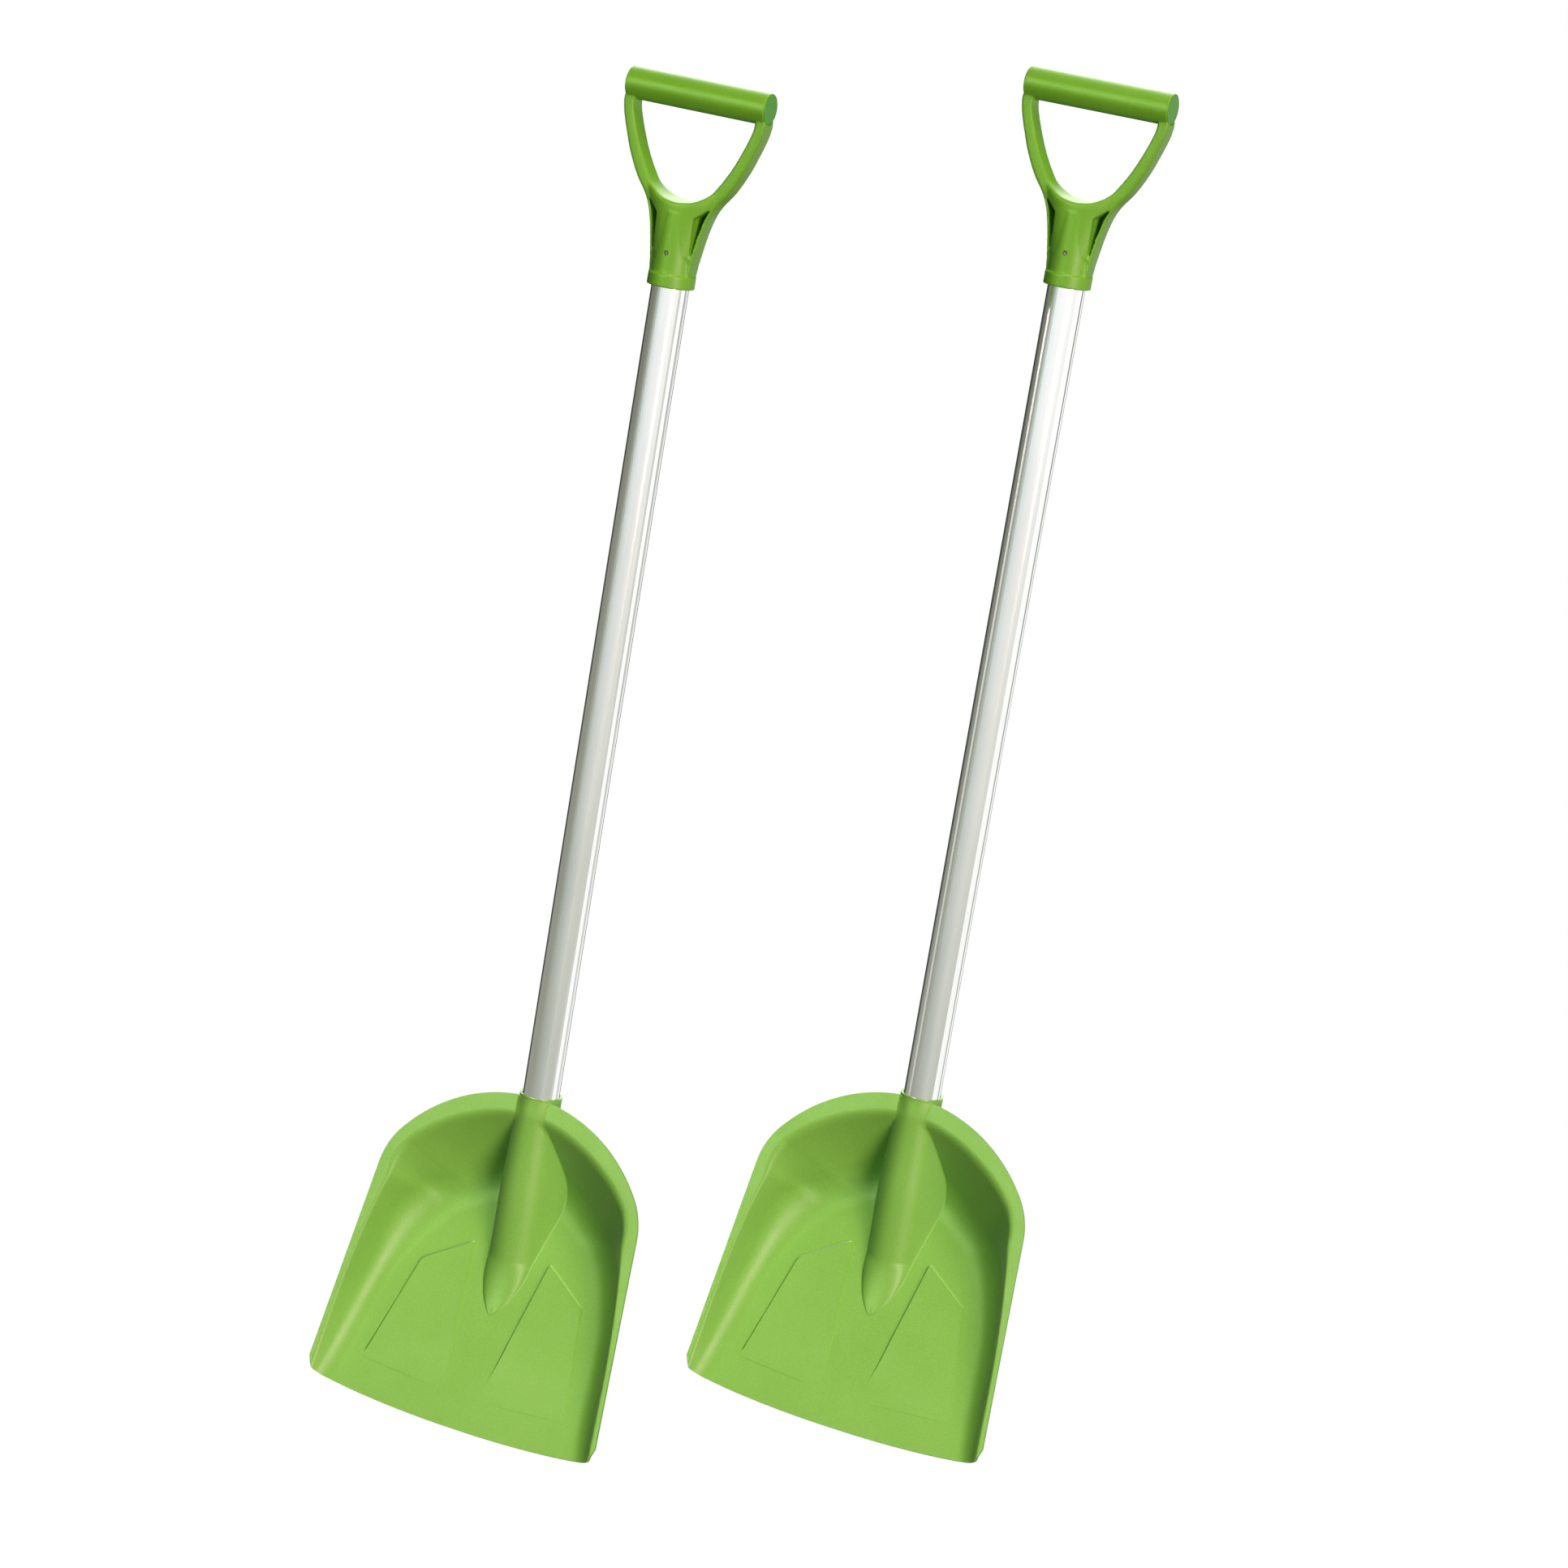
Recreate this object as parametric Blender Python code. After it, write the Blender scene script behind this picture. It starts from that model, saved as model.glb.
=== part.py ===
"""Pair of scoop shovels: moulded plastic scoop, straight aluminium tube shaft, moulded D-grip.

Millimetres are used for the driving dimensions and turned into metres when a mesh is made.
Each shovel stands with its shaft along +Z, the hollow of the scoop facing -Y and the grip bar along X.
Heights named Z_... count from the mouth of the scoop's socket, where the tube goes in.
"""
import math

import bmesh
import bpy
import numpy as np
from mathutils import Matrix, Vector
from mathutils.bvhtree import BVHTree

MM = 0.001

# ---- where the two shovels hang ------------------------------------------------------------
PITCH_X, PITCH_Y, PITCH_Z = 295.4, 139.7, 53.9   # second shovel, measured from the first
Y_SHIFT = 30.73                                   # puts the middle of the pair's depth on Y = 0
Z_TIP = -289.90                                   # lowest point of a scoop, from its socket mouth

# ---- tube ----------------------------------------------------------------------------------
TUBE_R, TUBE_WALL = 16.0, 1.2
Z_TUBE_LOW, Z_TUBE_TOP = -90.0, 772.0
FIT_GAP = 0.3

# ---- scoop ---------------------------------------------------------------------------------
SHEET = 2.8
RIM_Y0, RIM_SLOPE = -12.0, 0.27                   # rim plane:  y = RIM_Y0 + RIM_SLOPE z
FLOOR_Y0, FLOOR_SLOPE = 70.4, 0.522               # floor plane: y = FLOOR_Y0 + FLOOR_SLOPE z
TOP_ARC_R, Z_RIM_TOP = 146.0, -1.0
SHOULDER_R = 62.0
SIDE_X, SIDE_Z, SIDE_TAPER = 128.6, -98.0, 0.0855 # a point on the straight side, and its flare
Z_RIM_END = -264.0
FLANGE_TOP, FLANGE_SHOULDER, FLANGE_END = 18.0, 13.0, 3.6
FLANGE_FADE = 55.0                                # distance over which the side flange narrows
WALL_K_TOP, WALL_K_SIDE, WALL_K_FRONT = 0.70, 2.15, 1.5   # steepness of the wall behind the rim
LIP_TOP, LIP_SIDE = 5.5, 1.6                      # half-width of the rounded edge between rim and wall
FOLD_R_BACK, FOLD_R_FRONT = 38.0, 19.0            # radius between wall and floor
Z_SPINE_TOP, Z_SPINE_SIDE = -150.0, -192.0        # where the sections meet the middle line
Z_FRONT_MID = -288.6
CORNER_DROP, CORNER_REACH = 16.8, 5.5
STATIONS_SIDE, STATIONS_SHOULDER, STATIONS_TOP = 8, 4, 9
RIM_STEPS, LIP_STEPS, WALL_STEPS, FOLD_STEPS, FLOOR_STEPS = 1, 2, 2, 5, 3

# ---- socket ridge --------------------------------------------------------------------------
SOCKET_R, BOSS_R = 18.6, 18.6
Z_BORE_END = -92.0
RIDGE_FLANK_DEG = 68.0
Z_RIDGE_FADE, Z_RIDGE_TIP, RIDGE_FADE_HALF, RIDGE_TIP_DROP = -150.0, -197.0, 20.6, 9.6
Z_CHANNEL_TOP, Z_CHANNEL_END = -97.0, -180.0
RIDGE_SIDE_POINTS = 9

# ---- raised panels of the floor (half-width x, height z) -------------------------------------
PANEL = ((37.6, -147.6), (78.5, -171.5), (100.0, -256.0), (17.5, -260.0))
PANEL_RISE = 1.3

# ---- D-grip --------------------------------------------------------------------------------
Z_BAR, BAR_R, BAR_HALF, BAR_BORE_R = 873.0, 12.8, 65.0, 10.6
Z_COLLAR, Z_RING_TOP, RING_R = 713.0, 724.0, 20.2
BODY_R_LOW, BODY_R_TOP, Z_BODY_TOP, Z_GRIP_BORE_TOP = 18.6, 18.0, 782.0, 774.0
ARM_HALF_DEPTH = 8.2
SADDLE_HALF_DEPTH, Z_SADDLE_FULL, Z_SADDLE_TOP = 17.4, 782.0, 812.0
CAP_FLANGE, CAP_FLANGE_R = 1.3, 12.5             # end caps of the bar
OUTER_EDGE = ((64.4, 873.0), (64.8, 866.0), (66.0, 859.5), (63.9, 847.6), (59.2, 833.6), (52.4, 816.6), (43.2, 799.6),
              (32.9, 785.8), (28.0, 775.5), (24.5, 762.0), (21.8, 746.0), (20.0, 731.0), (19.4, 720.0))
INNER_EDGE = ((57.2, 873.0), (57.2, 857.6), (55.8, 850.0), (50.6, 835.5), (43.3, 819.0), (34.6, 804.0),
              (26.6, 793.6), (14.5, 786.4), (0.0, 784.0))
WINDOW = ((17.2, 770.5), (27.0, 779.5), (24.6, 772.0), (20.8, 757.0), (18.6, 740.0), (17.2, 740.0))
WEB_Y = 4.5
Z_GRIP_SCREW, Z_SOCKET_SCREW = 741.6, -30.0

MAT = {
    "scoop_green": (0.34, 0.60, 0.13, 1.0, 0.45, 0.0),
    "grip_green": (0.25, 0.52, 0.07, 1.0, 0.45, 0.0),
    "tube_aluminium": (0.86, 0.87, 0.87, 1.0, 0.28, 1.0),
    "screw_steel": (0.20, 0.21, 0.20, 1.0, 0.40, 1.0),
}


def clear_scene():
    for ob in list(bpy.data.objects):
        bpy.data.objects.remove(ob, do_unlink=True)


def material(node, kind):
    r, g, b, a, rough, metal = MAT[kind]
    m = bpy.data.materials.new("mat_" + node)
    m.use_nodes = True
    p = m.node_tree.nodes.get("Principled BSDF")
    p.inputs["Base Color"].default_value = (r, g, b, a)
    p.inputs["Roughness"].default_value = rough
    p.inputs["Metallic"].default_value = metal
    return m


def make_object(name, verts, faces):
    me = bpy.data.meshes.new(name)
    me.from_pydata([tuple(v) for v in verts], [], faces)
    ob = bpy.data.objects.new(name, me)
    bpy.context.scene.collection.objects.link(ob)
    bm = bmesh.new()
    bm.from_mesh(me)
    bmesh.ops.remove_doubles(bm, verts=bm.verts, dist=1e-5)
    bmesh.ops.recalc_face_normals(bm, faces=bm.faces)
    bm.to_mesh(me)
    bm.free()
    return ob


def loft(name, rings):
    """Closed solid through rings of equal point counts; the end rings are closed with flat caps."""
    n = len(rings[0])
    verts = [Vector(p) * MM for ring in rings for p in ring]
    faces = []
    for k in range(len(rings) - 1):
        for i in range(n):
            j = (i + 1) % n
            faces.append((k * n + i, k * n + j, (k + 1) * n + j, (k + 1) * n + i))
    faces.append(tuple(range(n)))
    faces.append(tuple((len(rings) - 1) * n + i for i in range(n)))
    return make_object(name, verts, faces)


def turned(name, profile, axis="Z", centre=(0, 0, 0), seg=40):
    """Solid of revolution from (distance along the axis, radius) pairs."""
    rings = []
    for a, r in profile:
        ring = []
        for k in range(seg):
            t = 2 * math.pi * (k + 0.5) / seg
            c, s = r * math.cos(t), r * math.sin(t)
            if axis == "Z":
                p = (c, s, a)
            elif axis == "X":
                p = (a, c, s)
            else:
                p = (c, a, s)
            ring.append(tuple(p[i] + centre[i] for i in range(3)))
        rings.append(ring)
    return loft(name, rings)


def prism(name, outline, y0, y1):
    """Straight prism along Y from an outline of (x, z) points."""
    return loft(name, [[(x, y0, z) for x, z in outline], [(x, y1, z) for x, z in outline]])


def boolean(target, tool, op):
    mod = target.modifiers.new(op + "_" + tool.name, "BOOLEAN")
    mod.operation = op
    mod.solver = "EXACT"
    mod.object = tool
    tool.hide_render = True
    tool.display_type = "WIRE"
    bpy.context.view_layer.update()
    deps = bpy.context.evaluated_depsgraph_get()
    me = bpy.data.meshes.new_from_object(target.evaluated_get(deps))
    target.modifiers.clear()
    old = target.data
    target.data = me
    bpy.data.meshes.remove(old)
    bpy.data.objects.remove(tool, do_unlink=True)
    return target


def tidy(ob, dist=2e-5):
    bm = bmesh.new()
    bm.from_mesh(ob.data)
    bmesh.ops.remove_doubles(bm, verts=bm.verts, dist=dist)
    bmesh.ops.dissolve_degenerate(bm, edges=bm.edges, dist=1e-6)
    bmesh.ops.triangulate(bm, faces=[f for f in bm.faces if len(f.verts) > 4])
    bmesh.ops.recalc_face_normals(bm, faces=bm.faces)
    bm.to_mesh(ob.data)
    bm.free()


# ---- scoop ---------------------------------------------------------------------------------
def half_outline():
    """Outer rim of the right half, front corner first and top middle last: (x, z, nx, nz, share).
    The inward normal is (nx, nz). A straight flared side, a shoulder arc and a wide top arc."""
    side = np.array([-SIDE_TAPER, 1.0])
    side /= np.linalg.norm(side)
    nrm = np.array([-side[1], side[0]])
    # shoulder arc tangent to the side line and inside the top arc
    top_c = np.array([0.0, Z_RIM_TOP - TOP_ARC_R])
    p0 = np.array([SIDE_X, SIDE_Z])
    q0 = p0 + nrm * SHOULDER_R
    w = q0 - top_c
    rr = TOP_ARC_R - SHOULDER_R
    b = w.dot(side)
    c = w.dot(w) - rr * rr
    sh_c = q0 + side * (-b + math.sqrt(b * b - c))
    foot = sh_c - nrm * SHOULDER_R
    out = []
    end = p0 + side * ((Z_RIM_END - SIDE_Z) / side[1])
    for k in range(STATIONS_SIDE):
        t = k / STATIONS_SIDE
        p = end + (foot - end) * t
        out.append((p[0], p[1], nrm[0], nrm[1]))
    a0 = math.atan2(-nrm[1], -nrm[0])
    d = sh_c - top_c
    a1 = math.atan2(d[1], d[0])
    for k in range(STATIONS_SHOULDER):
        a = a0 + (a1 - a0) * k / STATIONS_SHOULDER
        out.append((sh_c[0] + SHOULDER_R * math.cos(a), sh_c[1] + SHOULDER_R * math.sin(a), -math.cos(a), -math.sin(a)))
    for k in range(STATIONS_TOP + 1):
        a = a1 + (math.pi / 2 - a1) * k / STATIONS_TOP
        out.append((TOP_ARC_R * math.cos(a), top_c[1] + TOP_ARC_R * math.sin(a), -math.cos(a), -math.sin(a)))
    return out


def smooth(t):
    t = min(1.0, max(0.0, t))
    return t * t * (3 - 2 * t)


def soft_min(a, b, r):
    h = max(r - abs(a - b), 0.0) / r
    return min(a, b) - h * h * r * 0.25


def rim_y(z):
    return RIM_Y0 + RIM_SLOPE * z


def floor_y(z):
    return FLOOR_Y0 + FLOOR_SLOPE * z


def flange_width(z, nz):
    """Width of the flat rim: widest over the top, narrow along the sides towards the front edge."""
    if z > SIDE_Z:
        return FLANGE_SHOULDER + (FLANGE_TOP - FLANGE_SHOULDER) * smooth((abs(nz) - 0.55) / 0.4)
    return FLANGE_END + (FLANGE_SHOULDER - FLANGE_END) * math.exp((z - SIDE_Z) / FLANGE_FADE)


def wall_steepness(z):
    """Gentle behind the top rim, steep along the sides, easing again towards the front corners."""
    return WALL_K_TOP + (WALL_K_SIDE - WALL_K_TOP) * smooth((-60.0 - z) / 90.0) \
        - (WALL_K_SIDE - WALL_K_FRONT) * smooth((-150.0 - z) / 130.0)


def lip_half(z):
    return LIP_SIDE + (LIP_TOP - LIP_SIDE) * smooth((z + 130.0) / 90.0)


def section(x, z, nx, nz):
    """Front face of the scoop from a rim station in to the middle line: flat rim, rounded lip,
    straight wall, fold of constant radius, flat floor. Depth is measured along +Y."""
    width = flange_width(z, nz)
    ix, iz = x + nx * width, z + nz * width
    low = min(1.0, max(0.0, (SIDE_Z - z) / (SIDE_Z - Z_RIM_END)))
    front = smooth((-z - 190.0) / (-Z_RIM_END - 190.0))
    # point of the middle line that this section runs to
    if low > 0.0:
        sz = Z_SPINE_SIDE + (Z_FRONT_MID - Z_SPINE_SIDE) * low
    else:
        sz = Z_SPINE_TOP + (Z_SPINE_SIDE - Z_SPINE_TOP) * smooth((1.0 - abs(nz)) / 0.95) ** 0.7
    length = math.hypot(ix, iz - sz)
    down = (sz - iz) / length
    y_in = rim_y(iz)
    k, m, r = wall_steepness(iz), FLOOR_SLOPE * down, RIM_SLOPE * down
    depth = floor_y(iz) - y_in
    corner = depth / (k - m)
    a, b = math.atan(k), math.atan(m)
    radius = FOLD_R_FRONT + (FOLD_R_BACK - FOLD_R_FRONT) * smooth((iz + 190.0) / 100.0)
    lip = min(lip_half(iz), 0.75 * width)
    reach = min(radius * math.tan((a - b) / 2), 0.82 * (corner - lip) / math.cos(a), 0.8 * (length - corner) / math.cos(b))
    radius = reach / math.tan((a - b) / 2)
    tw, tf = corner - reach * math.cos(a), corner + reach * math.cos(b)
    cx, cy = tw + radius * math.sin(a), k * tw - radius * math.cos(a)
    # (distance from the rim's inner edge, depth behind it)
    prof = [(-lip + 2 * lip * q / LIP_STEPS, None) for q in range(LIP_STEPS + 1)]
    for i, (t, _) in enumerate(prof):
        u = (t + lip) / (2 * lip)
        prof[i] = (t, r * t + (k - r) * lip * u * u)
    prof += [(lip + (tw - lip) * q / WALL_STEPS, k * (lip + (tw - lip) * q / WALL_STEPS)) for q in range(1, WALL_STEPS)]
    for q in range(FOLD_STEPS + 1):
        th = a + (b - a) * q / FOLD_STEPS
        prof.append((cx - radius * math.sin(th), cy + radius * math.cos(th)))
    prof += [(tf + (length - tf) * q / FLOOR_STEPS, depth + m * (tf + (length - tf) * q / FLOOR_STEPS)) for q in range(1, FLOOR_STEPS + 1)]
    prof = [(-width + (width - lip) * q / RIM_STEPS, r * (-width + (width - lip) * q / RIM_STEPS)) for q in range(RIM_STEPS)] + prof
    pts = []
    for t, d in prof:
        tau = max(t / length, 0.0)
        if t < 0.0:
            px, pz = ix + nx * t, iz + nz * t
        else:
            px, pz = ix * (1 - tau), iz + (sz - iz) * tau
        py = rim_y(pz) if t <= -lip else y_in + d
        # the front edge falls away quickly beside the rim's end, then runs in a shallow bow
        drop = CORNER_DROP * front * (1 - math.exp(-(t + width) / CORNER_REACH)) * (1 - tau) * (1 + 0.6 * tau)
        slope = RIM_SLOPE + (FLOOR_SLOPE - RIM_SLOPE) * min(1.0, max(0.0, d / depth))
        pts.append((px, py - slope * drop, pz - drop))
    return pts


def scoop_sheet():
    halves = [section(*st) for st in half_outline()]
    rows = len(halves[0])
    verts, faces = [], []
    for sec in halves:
        verts += [(x, y, z) for x, y, z in sec]
    base = len(verts)
    for sec in halves:
        verts += [(-x, y, z) for x, y, z in sec]
    for i in range(len(halves) - 1):
        for j in range(rows - 1):
            a, b = i * rows + j, i * rows + j + 1
            c, d = (i + 1) * rows + j + 1, (i + 1) * rows + j
            faces.append((a, b, c, d))
            faces.append((base + a, base + d, base + c, base + b))
    bm = bmesh.new()
    vs = [bm.verts.new(Vector(v) * MM) for v in verts]
    for f in faces:
        bm.faces.new([vs[i] for i in f])
    bmesh.ops.remove_doubles(bm, verts=bm.verts, dist=5e-5)
    bmesh.ops.dissolve_degenerate(bm, edges=bm.edges, dist=1e-5)
    bmesh.ops.recalc_face_normals(bm, faces=bm.faces)
    bm.normal_update()
    if sum(f.normal.y * f.calc_area() for f in bm.faces) > 0:
        bmesh.ops.reverse_faces(bm, faces=bm.faces)
        bm.normal_update()
    return bm


def scoop_solid(name):
    bm = scoop_sheet()
    tree = BVHTree.FromBMesh(bm)
    bm.verts.index_update()
    front = [v.co.copy() for v in bm.verts]
    back = []
    for v in bm.verts:
        n = Vector((0, 0, 0))
        for f in v.link_faces:
            n += f.normal * max(f.calc_area(), 1e-9) ** 0.5
        n.normalize()
        flat = min((n.dot(f.normal) for f in v.link_faces), default=1.0)
        back.append(v.co - n * (SHEET * MM / max(flat, 0.62)))
    faces = [tuple(v.index for v in f.verts) for f in bm.faces]
    k = len(front)
    allf = list(faces) + [tuple(k + i for i in reversed(f)) for f in faces]
    for e in bm.edges:
        if e.is_boundary:
            a, b = e.verts[0].index, e.verts[1].index
            allf.append((a, b, k + b, k + a))
    bm.free()
    ob = make_object(name, front + back, allf)
    return ob, tree


def ridge_r(z):
    """Radius of the ridge over the tube: flares just below the mouth, then tapers out slowly."""
    if z > -19.0:
        return SOCKET_R + 1.6 * smooth(-z / 19.0)
    return 20.2 + 2.6 * smooth((-19.0 - z) / 86.0)


def front_y(tree, x, z):
    hit = tree.ray_cast(Vector((x, -300.0, z)) * MM, Vector((0, 1, 0)))
    return hit[0].y / MM if hit[0] is not None else None


def ridge_half_profile(tree, z, inset, sink, n):
    """Half profile (x >= 0) from the crown down to where it meets the scoop's front face."""
    pts = []
    if z >= Z_RIDGE_FADE:
        r = ridge_r(z) - inset
        ft = math.radians(RIDGE_FLANK_DEG)
        xt, yt = r * math.sin(ft), -r * math.cos(ft)
        arc = r * ft
        total = arc + 60.0
        s, prev = 0.0, None
        end = arc
        while s < total:
            x, y = (r * math.sin(s / r), -r * math.cos(s / r)) if s < arc else \
                (xt + (s - arc) * math.cos(ft), yt + (s - arc) * math.sin(ft))
            fy = front_y(tree, x, z)
            if fy is not None and y > fy + sink:
                break
            if fy is None and s > math.pi * r / 2:
                break
            end = s
            s += 0.25
        for q in range(n + 1):
            s = end * q / n
            pts.append((r * math.sin(s / r), -r * math.cos(s / r)) if s < arc else
                       (xt + (s - arc) * math.cos(ft), yt + (s - arc) * math.sin(ft)))
    else:
        t = (Z_RIDGE_FADE - z) / (Z_RIDGE_FADE - Z_RIDGE_TIP)
        half = max(RIDGE_FADE_HALF * max(1 - t * t, 0.0) ** 0.8 - inset * 0.9, 0.4)
        top = -ridge_r(z) - RIDGE_TIP_DROP * t ** 1.6 + inset
        fy = floor_y(z)
        h = max(fy - top, 0.15)
        for q in range(n + 1):
            a = math.pi / 2 * q / n
            pts.append((half * math.sin(a), fy + sink * math.sin(a) - h * math.cos(a)))
    return pts


def ridge_solid(tree, name, z_list, inset, sink, back):
    rings = []
    for z in z_list:
        hp = ridge_half_profile(tree, z, inset, sink, RIDGE_SIDE_POINTS)
        right = [(x, y, z) for x, y in hp]
        left = [(-x, y, z) for x, y in reversed(hp[1:])]
        xe = hp[-1][0]
        base = []
        for q in range(1, 6):
            x = xe - 2 * xe * q / 6
            fy = front_y(tree, x, z)
            if fy is None:
                fy = floor_y(z)
            base.append((x, max(fy, hp[0][1]) + back, z))
        rings.append(right + base + left)
    return loft(name, rings)


def build_scoop(name):
    ob, tree = scoop_solid(name)
    zs = [-2.5, -10.0, -19.5] + [-19.5 + (Z_RIDGE_FADE + 19.5) * k / 9 for k in range(1, 10)]
    zs += [Z_RIDGE_FADE + (Z_RIDGE_TIP - Z_RIDGE_FADE) * q for q in (0.2, 0.4, 0.57, 0.72, 0.84, 0.93, 0.985)]
    ridge = ridge_solid(tree, "tool_ridge", zs, 0.0, SHEET * 0.45, SHEET * 0.5)
    boss = turned("tool_boss", [(Z_BORE_END - 1.0, BOSS_R - 0.4), (-19.5, BOSS_R), (0.0, BOSS_R)], seg=44)
    boolean(ob, boss, "UNION")
    boolean(ob, ridge, "UNION")
    for side in (1, -1):
        pts = [(side * x, z) for x, z in PANEL]
        lift = (PANEL_RISE, PANEL_RISE, -0.5, -0.5)
        s = math.hypot(1.0, FLOOR_SLOPE)
        n = (0.0, -1.0 / s, FLOOR_SLOPE / s)
        low = [(x, floor_y(z) - n[1] * 1.2, z - n[2] * 1.2) for x, z in pts]
        top = [(x, floor_y(z) + n[1] * h, z + n[2] * h) for (x, z), h in zip(pts, lift)]
        boolean(ob, loft("tool_panel", [low, top]), "UNION")
    zc = [Z_CHANNEL_TOP + (Z_RIDGE_FADE - Z_CHANNEL_TOP) * k / 4 for k in range(5)] + \
         [Z_RIDGE_FADE + (Z_CHANNEL_END - Z_RIDGE_FADE) * q for q in (0.35, 0.7, 1.0)]
    channel = ridge_solid(tree, "tool_channel", zc, SHEET, SHEET + 4.0, SHEET + 4.0)
    boolean(ob, channel, "DIFFERENCE")
    bore = turned("tool_bore", [(Z_BORE_END, TUBE_R + FIT_GAP), (5.0, TUBE_R + FIT_GAP)], seg=44)
    boolean(ob, bore, "DIFFERENCE")
    screw_hole = turned("tool_hole", [(TUBE_R - 1.0, 2.1), (BOSS_R + 2.0, 2.1)], axis="Y", centre=(0, 0, Z_SOCKET_SCREW), seg=16)
    boolean(ob, screw_hole, "DIFFERENCE")
    tidy(ob)
    return ob


# ---- D-grip --------------------------------------------------------------------------------
def curve_through(points, per):
    """Smooth curve through points (Catmull-Rom)."""
    p = [np.array(q, float) for q in points]
    p = [2 * p[0] - p[1]] + p + [2 * p[-1] - p[-2]]
    out = []
    for i in range(1, len(p) - 2):
        for k in range(per):
            t = k / per
            out.append(tuple(0.5 * (2 * p[i] + (p[i + 1] - p[i - 1]) * t
                             + (2 * p[i - 1] - 5 * p[i] + 4 * p[i + 1] - p[i + 2]) * t * t
                             + (3 * p[i] - p[i - 1] - 3 * p[i + 1] + p[i + 2]) * t ** 3)))
    out.append(tuple(p[-2]))
    return out


def outer_x(z):
    """Half-width of the grip's outer edge at a height."""
    pts = sorted((q[1], q[0]) for q in OUTER_EDGE)
    return float(np.interp(z, [q[0] for q in pts], [q[1] for q in pts]))


def saddle_solid(name, z_list, seg):
    """The arms grow deeper towards the socket: oval slices as wide as the outer edge, with the hand opening cut out."""
    rings = []
    for z in z_list:
        a = outer_x(z) - 0.35
        b = ARM_HALF_DEPTH + (SADDLE_HALF_DEPTH - ARM_HALF_DEPTH) * smooth((Z_SADDLE_TOP - z) / (Z_SADDLE_TOP - Z_SADDLE_FULL))
        rings.append([(a * math.cos(t), b * math.sin(t), z) for t in (2 * math.pi * (k + 0.5) / seg for k in range(seg))])
    ob = loft(name, rings)
    inner = curve_through(INNER_EDGE, 2)
    low = [(x, z) for x, z in inner if z < Z_SADDLE_TOP + 12.0]
    outline = [(-x, z) for x, z in low] + [(x, z) for x, z in reversed(low[:-1])]
    return boolean(ob, prism("tool_hand_opening", outline, -30.0, 30.0), "DIFFERENCE")


def build_grip(name):
    outer = curve_through(OUTER_EDGE, 2)
    inner = curve_through(INNER_EDGE, 2)
    right = [(x, z) for x, z in outer]
    outline = right + [(-x, z) for x, z in reversed(right)]
    outline += [(-x, z) for x, z in inner] + [(x, z) for x, z in reversed(inner[:-1])]
    ob = prism(name, outline, -ARM_HALF_DEPTH, ARM_HALF_DEPTH)
    bev = ob.modifiers.new("edge", "BEVEL")
    bev.width = 1.6 * MM
    bev.segments = 2
    bev.limit_method = "ANGLE"
    bev.angle_limit = math.radians(50)
    bpy.context.view_layer.update()
    me = bpy.data.meshes.new_from_object(ob.evaluated_get(bpy.context.evaluated_depsgraph_get()))
    ob.modifiers.clear()
    ob.data = me
    boolean(ob, saddle_solid("tool_saddle", (738.0, 752.0, 764.0, 774.0, 782.0, 789.0, 796.0, 804.0, Z_SADDLE_TOP), 44), "UNION")
    for side in (1, -1):
        win = [(side * x, z) for x, z in WINDOW]
        boolean(ob, prism("tool_window", win, -20.0, WEB_Y), "DIFFERENCE")
        boolean(ob, prism("tool_window_back", win, WEB_Y + 2.0, 20.0), "DIFFERENCE")
    body = turned("tool_body", [(Z_COLLAR, RING_R - 0.8), (Z_COLLAR + 0.8, RING_R), (Z_RING_TOP - 0.8, RING_R), (Z_RING_TOP, RING_R - 0.8),
                                (Z_RING_TOP + 0.01, BODY_R_LOW), (Z_BODY_TOP - 6.0, BODY_R_TOP)], seg=44)
    boolean(ob, body, "UNION")
    end = BAR_HALF - CAP_FLANGE - FIT_GAP
    bar = turned("tool_bar", [(-end, BAR_R), (end, BAR_R)], axis="X", centre=(0, 0, Z_BAR), seg=36)
    boolean(ob, bar, "UNION")
    for side in (1, -1):
        seat = turned("tool_cap_seat", [(side * end, BAR_R + 0.3), (side * (BAR_HALF + 6.0), BAR_R + 0.3)], axis="X", centre=(0, 0, Z_BAR), seg=36)
        boolean(ob, seat, "DIFFERENCE")
    hollow = turned("tool_hollow", [(-BAR_HALF - 4, BAR_BORE_R), (BAR_HALF + 4, BAR_BORE_R)], axis="X", centre=(0, 0, Z_BAR), seg=36)
    boolean(ob, hollow, "DIFFERENCE")
    bore = turned("tool_bore", [(Z_COLLAR - 5, TUBE_R + FIT_GAP), (Z_GRIP_BORE_TOP, TUBE_R + FIT_GAP)], seg=44)
    boolean(ob, bore, "DIFFERENCE")
    hole = turned("tool_hole", [(-BODY_R_LOW - 3.0, 2.1), (-TUBE_R + 1.0, 2.1)], axis="Y", centre=(0, 0, Z_GRIP_SCREW), seg=16)
    boolean(ob, hole, "DIFFERENCE")
    tidy(ob)
    return ob


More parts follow.
